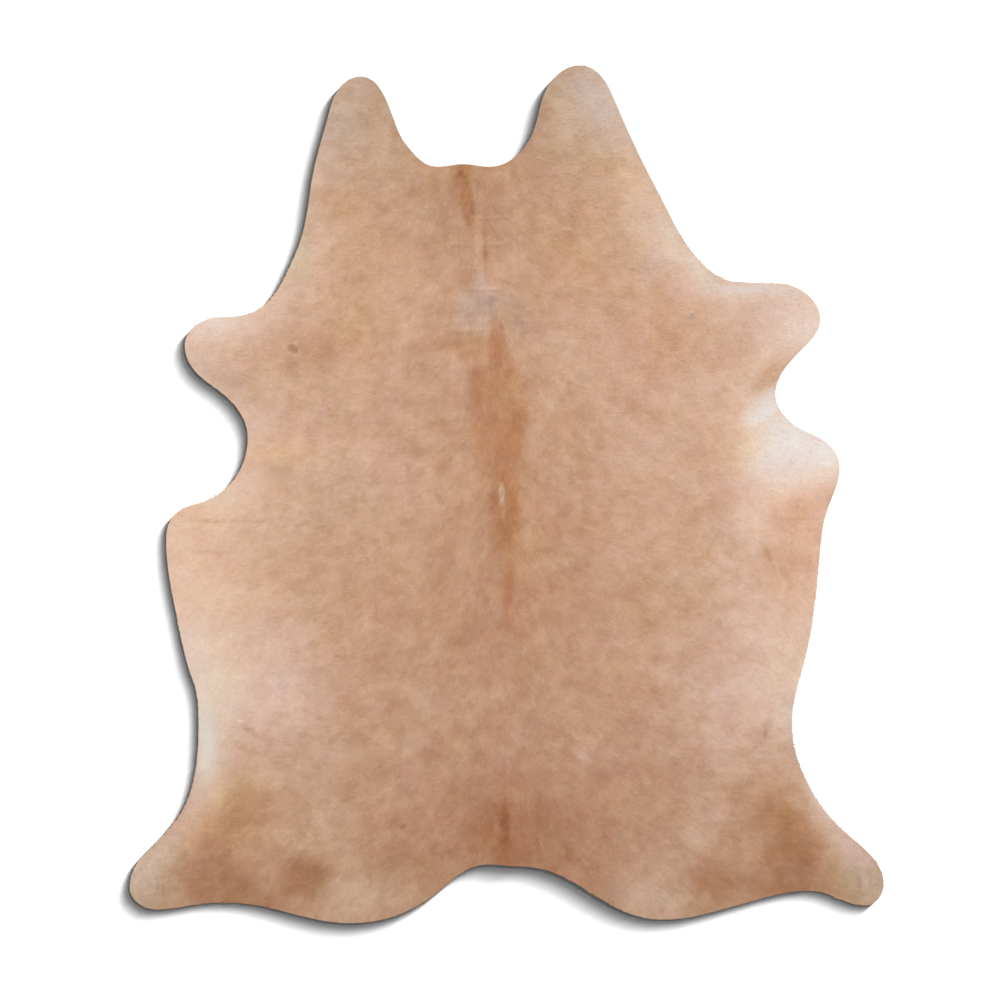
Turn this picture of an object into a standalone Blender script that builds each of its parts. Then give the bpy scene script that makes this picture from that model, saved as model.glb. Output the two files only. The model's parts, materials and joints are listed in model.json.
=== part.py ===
"""A tan cowhide, tanned with its hair on and laid flat, coat side up: one sheet cut to the animal's outline.

+Y runs along the spine from the rump to the neck, +X to the right in the view from above, +Z up. The
underside is flat at z = 0, and the origin lies on it, at the centre of the outline's box.
"""

import math
from collections import namedtuple

import bmesh
import bpy
import numpy as np
from mathutils import Vector

# Driving sizes in metres. Thicknesses are those of the skin with its coat lying flat.
LENGTH = 2.130
WIDTH = 1.873
BACK_THICKNESS = 0.0054
BELLY_THICKNESS = 0.0036
BACK_REACH = 0.42
SPINE_RIDGE = 0.0005
SPINE_HALF_WIDTH = 0.022

# The rim: the coat rounds over the cut edge above RIM_CORE, on this radius.
RIM_CORE = 0.0030
RIM_RADIUS = 0.0040
RIM_STEPS = 1
SPAN_STEPS = 6
HANDLE_SHARE = 0.36

# Places are shares: x of half the width and y of half the length, from the centre of the outline's box.
# The outline runs counter-clockwise, and heading is the way it runs there, in degrees from +X.
Landmark = namedtuple("Landmark", "name x y heading")
OUTLINE = (
    Landmark("right foot tip", 0.999, -0.909, 90),
    Landmark("right hock", 0.890, -0.781, 137),
    Landmark("right thigh", 0.794, -0.666, 116),
    Landmark("right flank bay", 0.756, -0.533, 90),
    Landmark("right belly low", 0.790, -0.384, 76),
    Landmark("right belly", 0.826, -0.175, 84),
    Landmark("right elbow neck", 0.853, -0.027, 69),
    Landmark("right elbow tip", 0.882, 0.066, 92),
    Landmark("right elbow top", 0.818, 0.137, 155),
    Landmark("right armpit low", 0.744, 0.175, 134),
    Landmark("right armpit", 0.712, 0.236, 88),
    Landmark("right foreleg under", 0.775, 0.332, 47),
    Landmark("right foreleg tip", 0.831, 0.410, 92),
    Landmark("right foreleg top", 0.717, 0.492, 180),
    Landmark("right shoulder notch", 0.612, 0.495, 178),
    Landmark("right shoulder", 0.511, 0.545, 133),
    Landmark("right neck side", 0.398, 0.710, 118),
    Landmark("right neck high", 0.279, 0.933, 113),
    Landmark("right neck tip", 0.194, 1.000, 180),
    Landmark("right inner neck", 0.091, 0.912, 256),
    Landmark("right inner low", 0.059, 0.826, 240),
    Landmark("neck bay right", -0.046, 0.764, 180),
    Landmark("neck bay hump", -0.115, 0.770, 180),
    Landmark("neck bay left", -0.184, 0.764, 180),
    Landmark("left inner low", -0.263, 0.812, 130),
    Landmark("left inner neck", -0.305, 0.889, 111),
    Landmark("left neck tip", -0.387, 0.974, 180),
    Landmark("left outer neck", -0.466, 0.905, 256),
    Landmark("left neck side", -0.519, 0.717, 262),
    Landmark("left shoulder", -0.564, 0.552, 245),
    Landmark("left foreleg root", -0.675, 0.424, 202),
    Landmark("left foreleg top", -0.768, 0.413, 184),
    Landmark("left foreleg tip", -0.853, 0.347, 270),
    Landmark("left foreleg under", -0.781, 0.254, 326),
    Landmark("left armpit", -0.686, 0.131, 270),
    Landmark("left elbow top", -0.789, -0.012, 203),
    Landmark("left elbow", -0.884, -0.051, 232),
    Landmark("left elbow tip", -0.902, -0.117, 272),
    Landmark("left belly", -0.865, -0.322, 281),
    Landmark("left flank", -0.831, -0.433, 291),
    Landmark("left flank bay", -0.816, -0.528, 270),
    Landmark("left thigh", -0.840, -0.700, 252),
    Landmark("left hock", -0.904, -0.788, 226),
    Landmark("left foot tip", -0.999, -0.916, 270),
    Landmark("left foot heel", -0.931, -0.966, 0),
    Landmark("left thigh notch", -0.773, -0.950, 2),
    Landmark("left rump side", -0.585, -0.972, 345),
    Landmark("left rump lobe", -0.413, -0.998, 0),
    Landmark("left rump inner", -0.197, -0.935, 36),
    Landmark("tail left", -0.059, -0.862, 4),
    Landmark("tail right", 0.036, -0.866, 0),
    Landmark("right rump inner", 0.221, -0.926, 327),
    Landmark("right rump lobe", 0.416, -0.990, 0),
    Landmark("right thigh under", 0.622, -0.954, 15),
    Landmark("right foot notch", 0.803, -0.923, 0),
    Landmark("right foot heel", 0.952, -0.957, 0),
)

# The spine's line, from the tail to the nape, in the same shares.
Station = namedtuple("Station", "name x y")
SPINE = (
    Station("tail root", -0.004, -1.000),
    Station("loin", -0.004, -0.010),
    Station("withers", -0.025, 0.230),
    Station("neck", -0.070, 0.560),
    Station("nape", -0.115, 0.800),
)

# Neck wrinkles and flank creases: troughs have a negative height. Place in shares, turn in degrees from
# +X, half_length, half_width and height in metres.
Wrinkle = namedtuple("Wrinkle", "name x y turn half_length half_width height")
WRINKLES = (
    Wrinkle("nape trough", -0.056, 0.628, -12, 0.040, 0.008, -0.0006),
    Wrinkle("upper neck trough", -0.118, 0.568, -10, 0.050, 0.008, -0.0006),
    Wrinkle("upper neck ridge", -0.030, 0.557, 4, 0.038, 0.009, 0.0005),
    Wrinkle("mid neck trough", -0.004, 0.489, -10, 0.036, 0.008, -0.0006),
    Wrinkle("mid neck ridge", -0.035, 0.470, 3, 0.055, 0.009, 0.0006),
    Wrinkle("low neck trough", -0.086, 0.424, -2, 0.055, 0.008, -0.0007),
    Wrinkle("low neck ridge", -0.100, 0.391, 4, 0.065, 0.009, 0.0006),
    Wrinkle("left elbow crease", -0.741, -0.069, 0, 0.110, 0.010, -0.0006),
    Wrinkle("left belly crease", -0.773, -0.136, -1, 0.075, 0.010, -0.0005),
    Wrinkle("right elbow crease", 0.768, -0.057, 0, 0.065, 0.010, -0.0006),
)

# Broad unevenness of the skin: the length of one wave in metres, the way it runs in degrees, its start in
# degrees, and how far it rises and falls.
Swell = namedtuple("Swell", "name wave turn start height")
SWELLS = (
    Swell("across", 0.61, 12, 40, 0.00022),
    Swell("along", 0.47, 98, 110, 0.00018),
    Swell("aslant", 0.33, 53, 250, 0.00012),
)

# The slab's grid lines run from the last row's end, a share of half the slab's size, to this one's, about
# spacing metres apart. They lie closer where the spine, the neck wrinkles and the flank creases are.
SLAB_MARGIN = 0.02
Band = namedtuple("Band", "name end spacing")
ACROSS = (
    Band("left side", -0.22, 0.052),
    Band("spine", 0.08, 0.020),
    Band("right side", 1.0, 0.052),
)
ALONG = (
    Band("rump", -0.19, 0.050),
    Band("flank creases", -0.01, 0.012),
    Band("back", 0.36, 0.045),
    Band("neck wrinkles", 0.66, 0.012),
    Band("neck flaps", 1.0, 0.045),
)

HIDE_COLOUR = (0.52, 0.32, 0.21, 1.0)
HIDE_ROUGHNESS = 0.85
SMOOTH_BELOW = math.radians(40)
WELD_DISTANCE = 0.00001


def clear_scene():
    """Removes every object, and leaves the file open."""
    for thing in list(bpy.data.objects):
        bpy.data.objects.remove(thing, do_unlink=True)


def new_collection(name):
    """A collection linked to the scene."""
    collection = bpy.data.collections.new(name)
    bpy.context.scene.collection.children.link(collection)
    return collection


def move_to(thing, collection):
    """Puts an object in one collection only."""
    for old in list(thing.users_collection):
        old.objects.unlink(thing)
    collection.objects.link(thing)


def hide_material():
    """Short tan hair, seen as one soft matt surface."""
    material = bpy.data.materials.new("tan_coat")
    material.use_nodes = True
    shader = material.node_tree.nodes["Principled BSDF"]
    shader.inputs["Base Color"].default_value = HIDE_COLOUR
    shader.inputs["Roughness"].default_value = HIDE_ROUGHNESS
    shader.inputs["Metallic"].default_value = 0.0
    material.diffuse_color = HIDE_COLOUR
    return material


def spine_at(y):
    """The spine's x, in metres, at each y."""
    places = [station.y * LENGTH / 2 for station in SPINE]
    offsets = [station.x * WIDTH / 2 for station in SPINE]
    return np.interp(y, places, offsets)


def wrinkle_height(x, y, wrinkle):
    """A soft ridge or trough: a bell across the line, which fades out past its two ends."""
    turn = math.radians(wrinkle.turn)
    dx = x - wrinkle.x * WIDTH / 2
    dy = y - wrinkle.y * LENGTH / 2
    along = dx * math.cos(turn) + dy * math.sin(turn)
    across = dy * math.cos(turn) - dx * math.sin(turn)
    fade = np.exp(-((along / wrinkle.half_length) ** 4))
    return wrinkle.height * fade * np.exp(-0.5 * (across / wrinkle.half_width) ** 2)


def swell_height(x, y, swell):
    """One broad sine wave across the sheet."""
    turn = math.radians(swell.turn)
    along = x * math.cos(turn) + y * math.sin(turn)
    return swell.height * np.sin(2 * math.pi * along / swell.wave + math.radians(swell.start))


def thickness(x, y):
    """The sheet's thickness: most along the back, least at the belly, with its ridge and wrinkles."""
    off_spine = x - spine_at(y)
    height = BELLY_THICKNESS + (BACK_THICKNESS - BELLY_THICKNESS) * np.exp(-((off_spine / BACK_REACH) ** 2))
    height = height + SPINE_RIDGE * np.exp(-0.5 * (off_spine / SPINE_HALF_WIDTH) ** 2)
    for wrinkle in WRINKLES:
        height = height + wrinkle_height(x, y, wrinkle)
    for swell in SWELLS:
        height = height + swell_height(x, y, swell)
    return height


def grid_lines(size, bands):
    """The places of the grid lines along one axis, evenly spaced within each band."""
    half = size / 2 + SLAB_MARGIN
    lines = [-half]
    for band in bands:
        end = band.end * half
        count = max(1, round((end - lines[-1]) / band.spacing))
        lines.extend(np.linspace(lines[-1], end, count + 1)[1:])
    return np.array(lines)


def make_slab():
    """The sheet before it is cut to its outline: a grid that follows thickness, over a flat underside."""
    across = grid_lines(WIDTH, ACROSS)
    along = grid_lines(LENGTH, ALONG)
    bpy.ops.mesh.primitive_grid_add(x_subdivisions=len(across) - 1, y_subdivisions=len(along) - 1, size=1)
    slab = bpy.context.object
    mesh = slab.data
    points = np.empty(len(mesh.vertices) * 3)
    mesh.vertices.foreach_get("co", points)
    points = points.reshape(-1, 3)
    points[:, 0] = np.interp(points[:, 0], np.linspace(-0.5, 0.5, len(across)), across)
    points[:, 1] = np.interp(points[:, 1], np.linspace(-0.5, 0.5, len(along)), along)
    points[:, 2] = thickness(points[:, 0], points[:, 1])
    mesh.vertices.foreach_set("co", points.ravel())

    shape = bmesh.new()
    shape.from_mesh(mesh)
    rim = [edge for edge in shape.edges if edge.is_boundary]
    wall = bmesh.ops.extrude_edge_only(shape, edges=rim)["geom"]
    for item in wall:
        if isinstance(item, bmesh.types.BMVert):
            item.co.z = 0.0
    lower_rim = [item for item in wall if isinstance(item, bmesh.types.BMEdge) and item.is_boundary]
    bmesh.ops.edgeloop_fill(shape, edges=lower_rim)
    bmesh.ops.recalc_face_normals(shape, faces=shape.faces)
    shape.to_mesh(mesh)
    shape.free()
    return slab


def outline_curve():
    """The outline as a filled 2D curve. Each handle lies along its landmark's heading."""
    data = bpy.data.curves.new("outline", "CURVE")
    data.dimensions = "2D"
    data.fill_mode = "BOTH"
    data.resolution_u = SPAN_STEPS
    data.extrude = RIM_CORE
    data.bevel_depth = RIM_RADIUS
    data.bevel_resolution = RIM_STEPS
    data.offset = -RIM_RADIUS
    spline = data.splines.new("BEZIER")
    spline.use_cyclic_u = True
    spline.bezier_points.add(len(OUTLINE) - 1)
    places = [Vector((mark.x * WIDTH / 2, mark.y * LENGTH / 2, 0.0)) for mark in OUTLINE]
    for index, mark in enumerate(OUTLINE):
        place = places[index]
        before = places[index - 1]
        after = places[(index + 1) % len(places)]
        turn = math.radians(mark.heading)
        heading = Vector((math.cos(turn), math.sin(turn), 0.0))
        point = spline.bezier_points[index]
        point.co = place
        point.handle_left_type = "FREE"
        point.handle_right_type = "FREE"
        point.handle_left = place - heading * HANDLE_SHARE * (place - before).length
        point.handle_right = place + heading * HANDLE_SHARE * (after - place).length
    return bpy.data.objects.new("outline", data)


def make_cutter(collection):
    """The outline as a closed mesh with a rounded rim, stretched to exactly WIDTH by LENGTH."""
    curve = outline_curve()
    collection.objects.link(curve)
    bpy.context.view_layer.update()
    evaluated = curve.evaluated_get(bpy.context.evaluated_depsgraph_get())
    mesh = bpy.data.meshes.new_from_object(evaluated)
    cutter = bpy.data.objects.new("outline_cutter", mesh)
    cutter.matrix_world = curve.matrix_world
    collection.objects.link(cutter)
    bpy.data.objects.remove(curve, do_unlink=True)

    shape = bmesh.new()
    shape.from_mesh(mesh)
    bmesh.ops.remove_doubles(shape, verts=shape.verts, dist=WELD_DISTANCE)
    for axis, size in ((0, WIDTH), (1, LENGTH)):
        low = min(vertex.co[axis] for vertex in shape.verts)
        high = max(vertex.co[axis] for vertex in shape.verts)
        for vertex in shape.verts:
            vertex.co[axis] = (vertex.co[axis] - (low + high) / 2) * size / (high - low)
    bmesh.ops.recalc_face_normals(shape, faces=shape.faces)
    shape.to_mesh(mesh)
    shape.free()
    cutter.hide_render = True
    cutter.display_type = "WIRE"
    return cutter


def make_hide(collection, cutter):
    """The hide: the slab, cut to the outline."""
    hide = make_slab()
    hide.name = "hide"
    hide.data.name = "hide"
    move_to(hide, collection)
    hide.data.materials.append(hide_material())
    hide.data.shade_smooth()
    hide.data.set_sharp_from_angle(angle=SMOOTH_BELOW)
    cut = hide.modifiers.new("cut_to_outline", "BOOLEAN")
    cut.operation = "INTERSECT"
    cut.solver = "EXACT"
    cut.object = cutter
    return hide


def main():
    """Builds the cowhide."""
    clear_scene()
    cutter = make_cutter(new_collection("cutters"))
    make_hide(new_collection("cowhide_rug"), cutter)


main()
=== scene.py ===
"""A tan cowhide rug, dressed for its picture: its skin, the short coat that lies on it in locks, the hair
along its cut edge, and a white floor under studio light.

+Y runs along the spine from the rump to the neck, +X to the right in the view from above, and the
underside is flat at z = 0. Lengths are in metres.
"""

import functools
import json
import math
from collections import namedtuple

import bpy
import numpy as np
from bpy.props import FloatProperty, FloatVectorProperty, IntProperty, PointerProperty
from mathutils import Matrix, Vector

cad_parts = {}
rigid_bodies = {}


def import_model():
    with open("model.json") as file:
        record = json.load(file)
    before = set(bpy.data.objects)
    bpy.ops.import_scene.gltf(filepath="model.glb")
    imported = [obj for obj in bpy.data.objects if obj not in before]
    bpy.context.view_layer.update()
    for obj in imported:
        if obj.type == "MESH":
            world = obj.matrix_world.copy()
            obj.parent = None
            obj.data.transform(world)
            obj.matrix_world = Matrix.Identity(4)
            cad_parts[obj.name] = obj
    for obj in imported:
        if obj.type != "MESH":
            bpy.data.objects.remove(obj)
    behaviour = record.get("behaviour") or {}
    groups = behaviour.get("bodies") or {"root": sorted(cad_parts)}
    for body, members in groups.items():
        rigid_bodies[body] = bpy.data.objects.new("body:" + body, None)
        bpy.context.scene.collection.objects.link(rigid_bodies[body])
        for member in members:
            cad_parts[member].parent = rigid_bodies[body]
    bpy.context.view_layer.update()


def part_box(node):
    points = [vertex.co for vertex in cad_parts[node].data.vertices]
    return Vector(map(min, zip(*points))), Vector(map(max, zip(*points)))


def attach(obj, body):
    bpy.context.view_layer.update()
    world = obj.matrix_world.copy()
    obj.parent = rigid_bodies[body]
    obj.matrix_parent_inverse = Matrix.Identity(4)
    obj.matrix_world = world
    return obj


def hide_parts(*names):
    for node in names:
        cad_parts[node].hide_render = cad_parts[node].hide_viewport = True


bl_info = {
    "name": "Cowhide rug",
    "version": (1, 0, 0),
    "blender": (4, 5, 0),
    "location": "3D View > Sidebar > Cowhide",
    "description": "Makes a cowhide rug: its skin, its lying coat, the hair along its cut edge and its stage",
    "category": "Object",
}

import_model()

HIDE_LOW, HIDE_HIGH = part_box("hide")
WIDTH = HIDE_HIGH[0] - HIDE_LOW[0]
LENGTH = HIDE_HIGH[1] - HIDE_LOW[1]

# Thicknesses of the skin with its coat lying flat, as on the solid.
BACK_THICKNESS = 0.0054
BELLY_THICKNESS = 0.0036
BACK_REACH = 0.42
SPINE_RIDGE = 0.0005
SPINE_HALF_WIDTH = 0.022
HANDLE_SHARE = 0.36


def table(kind, fields, *rows, defaults=()):
    """Rows of one kind, with named fields. A row may leave out the last fields where they have defaults."""
    row_kind = namedtuple(kind, fields, defaults=defaults)
    return tuple(row_kind(*row) for row in rows)


def column(rows, field):
    """One field of all the rows."""
    return [getattr(row, field) for row in rows]


# Places are shares: x of half the width and y of half the length, from the centre of the outline's box.
# The outline runs counter-clockwise, and heading is the way it runs there, in degrees from +X.
OUTLINE = table(
    "Landmark",
    "name x y heading",
    ("right foot tip", 0.999, -0.909, 90),
    ("right hock", 0.890, -0.781, 137),
    ("right thigh", 0.794, -0.666, 116),
    ("right flank bay", 0.756, -0.533, 90),
    ("right belly low", 0.790, -0.384, 76),
    ("right belly", 0.826, -0.175, 84),
    ("right elbow neck", 0.853, -0.027, 69),
    ("right elbow tip", 0.882, 0.066, 92),
    ("right elbow top", 0.818, 0.137, 155),
    ("right armpit low", 0.744, 0.175, 134),
    ("right armpit", 0.712, 0.236, 88),
    ("right foreleg under", 0.775, 0.332, 47),
    ("right foreleg tip", 0.831, 0.410, 92),
    ("right foreleg top", 0.717, 0.492, 180),
    ("right shoulder notch", 0.612, 0.495, 178),
    ("right shoulder", 0.511, 0.545, 133),
    ("right neck side", 0.398, 0.710, 118),
    ("right neck high", 0.279, 0.933, 113),
    ("right neck tip", 0.194, 1.000, 180),
    ("right inner neck", 0.091, 0.912, 256),
    ("right inner low", 0.059, 0.826, 240),
    ("neck bay right", -0.046, 0.764, 180),
    ("neck bay hump", -0.115, 0.770, 180),
    ("neck bay left", -0.184, 0.764, 180),
    ("left inner low", -0.263, 0.812, 130),
    ("left inner neck", -0.305, 0.889, 111),
    ("left neck tip", -0.387, 0.974, 180),
    ("left outer neck", -0.466, 0.905, 256),
    ("left neck side", -0.519, 0.717, 262),
    ("left shoulder", -0.564, 0.552, 245),
    ("left foreleg root", -0.675, 0.424, 202),
    ("left foreleg top", -0.768, 0.413, 184),
    ("left foreleg tip", -0.853, 0.347, 270),
    ("left foreleg under", -0.781, 0.254, 326),
    ("left armpit", -0.686, 0.131, 270),
    ("left elbow top", -0.789, -0.012, 203),
    ("left elbow", -0.884, -0.051, 232),
    ("left elbow tip", -0.902, -0.117, 272),
    ("left belly", -0.865, -0.322, 281),
    ("left flank", -0.831, -0.433, 291),
    ("left flank bay", -0.816, -0.528, 270),
    ("left thigh", -0.840, -0.700, 252),
    ("left hock", -0.904, -0.788, 226),
    ("left foot tip", -0.999, -0.916, 270),
    ("left foot heel", -0.931, -0.966, 0),
    ("left thigh notch", -0.773, -0.950, 2),
    ("left rump side", -0.585, -0.972, 345),
    ("left rump lobe", -0.413, -0.998, 0),
    ("left rump inner", -0.197, -0.935, 36),
    ("tail left", -0.059, -0.862, 4),
    ("tail right", 0.036, -0.866, 0),
    ("right rump inner", 0.221, -0.926, 327),
    ("right rump lobe", 0.416, -0.990, 0),
    ("right thigh under", 0.622, -0.954, 15),
    ("right foot notch", 0.803, -0.923, 0),
    ("right foot heel", 0.952, -0.957, 0),
)

# The spine's line, from the tail to the nape, in the same shares.
SPINE = table(
    "Station",
    "name x y",
    ("tail root", -0.004, -1.000),
    ("loin", -0.004, -0.010),
    ("withers", -0.025, 0.230),
    ("neck", -0.070, 0.560),
    ("nape", -0.115, 0.800),
)

# Neck wrinkles and flank creases, as on the solid: place in shares, turn in degrees from +X, sizes in
# metres.
WRINKLES = table(
    "Wrinkle",
    "name x y turn half_length half_width height",
    ("nape trough", -0.056, 0.628, -12, 0.040, 0.008, -0.0006),
    ("upper neck trough", -0.118, 0.568, -10, 0.050, 0.008, -0.0006),
    ("upper neck ridge", -0.030, 0.557, 4, 0.038, 0.009, 0.0005),
    ("mid neck trough", -0.004, 0.489, -10, 0.036, 0.008, -0.0006),
    ("mid neck ridge", -0.035, 0.470, 3, 0.055, 0.009, 0.0006),
    ("low neck trough", -0.086, 0.424, -2, 0.055, 0.008, -0.0007),
    ("low neck ridge", -0.100, 0.391, 4, 0.065, 0.009, 0.0006),
    ("left elbow crease", -0.741, -0.069, 0, 0.110, 0.010, -0.0006),
    ("left belly crease", -0.773, -0.136, -1, 0.075, 0.010, -0.0005),
    ("right elbow crease", 0.768, -0.057, 0, 0.065, 0.010, -0.0006),
)

# Broad unevenness of the skin, as on the solid.
SWELLS = table(
    "Swell",
    "name wave turn start height",
    ("across", 0.61, 12, 40, 0.00022),
    ("along", 0.47, 98, 110, 0.00018),
    ("aslant", 0.33, 53, 250, 0.00012),
)

# The way the coat lies. From the spine it runs backwards and turns outwards within spine_reach metres,
# until it points OUTWARD_SLOPE degrees back of straight outwards.
LIES = table(
    "Lie",
    "name y spine_reach",
    ("tail", -1.00, 0.26),
    ("rump", -0.70, 0.24),
    ("ribs", 0.00, 0.18),
    ("withers", 0.30, 0.14),
    ("nape", 0.80, 0.14),
)
OUTWARD_SLOPE = 12

# Places where the coat runs its own way: x, y and reach in metres, heading in degrees from +X.
STREAMS = table(
    "Stream",
    "name x y reach_x reach_y heading strength",
    ("left belly edge", -0.78, -0.43, 0.10, 0.26, 266, 2.5),
    ("right belly edge", 0.72, -0.25, 0.11, 0.26, 274, 2.2),
    ("left foot", -0.83, -0.93, 0.13, 0.12, 215, 3.0),
    ("right foot", 0.84, -0.93, 0.13, 0.12, 308, 3.0),
    ("left foreleg", -0.74, 0.36, 0.09, 0.08, 188, 2.0),
    ("right foreleg", 0.73, 0.42, 0.10, 0.08, 355, 2.0),
    ("left rump lobe", -0.39, -1.00, 0.10, 0.10, 255, 2.0),
    ("right rump lobe", 0.38, -1.00, 0.10, 0.10, 285, 2.0),
    ("left neck flap", -0.37, 0.90, 0.07, 0.12, 172, 1.5),
    ("right neck flap", 0.20, 0.92, 0.08, 0.12, 12, 1.5),
)

# How far the coat's heading wavers, in degrees, and over what distance.
HEADING_WAVERS = table("HeadingWaver", "turn distance", (16, 0.070), (10, 0.028))

# The coat's tones from its darkest hair to its whitest, by level, the mean of red, green and blue out of 255.
TONES = table(
    "Tone",
    "name level red green blue",
    ("tail brown", 112, 158, 106, 72),
    ("rump brown", 130, 172, 124, 94),
    ("back brown", 148, 187, 144, 113),
    ("tan", 163, 199, 159, 131),
    ("sand", 181, 213, 177, 153),
    ("cream", 200, 226, 198, 176),
    ("milk", 221, 237, 220, 206),
    ("white", 245, 247, 245, 243),
)
# How far red, green and blue move for each step of warm and of pink.
WARM_SHIFT = (0.35, 0.10, -0.45)
PINK_SHIFT = (0.2, -0.4, 0.2)

# How the colour runs along the body. At y the level is back at the spine and back + flank away from it, and
# the cut edge adds edge, which fades inwards within reach metres. warm and pink are the belt's own hue.
BELTS = table(
    "Belt",
    "name y back flank edge reach warm pink",
    ("tail", -1.00, 126, 10, 0, 0.08, -14, -8),
    ("rump", -0.81, 129, 12, 2, 0.12, -11, -4),
    ("hip", -0.66, 135, 9, 20, 0.22, -11, -2),
    ("flank", -0.51, 140, 6, 37, 0.26, -9, -1),
    ("loin", -0.26, 141, 9, 36, 0.26, -5, -1),
    ("belly", -0.06, 142, 16, 25, 0.18, -5, 0),
    ("ribs", 0.14, 148, 15, 18, 0.12, -5, 0),
    ("shoulders", 0.38, 153, 8, 28, 0.10, -6, -1),
    ("low neck", 0.53, 153, 5, 24, 0.10, -4, -1),
    ("neck", 0.73, 143, 11, 16, 0.12, -9, -3),
    ("neck flaps", 1.00, 154, 8, 6, 0.10, -18, -12),
)
FLANK_REACH = 0.20

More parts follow.
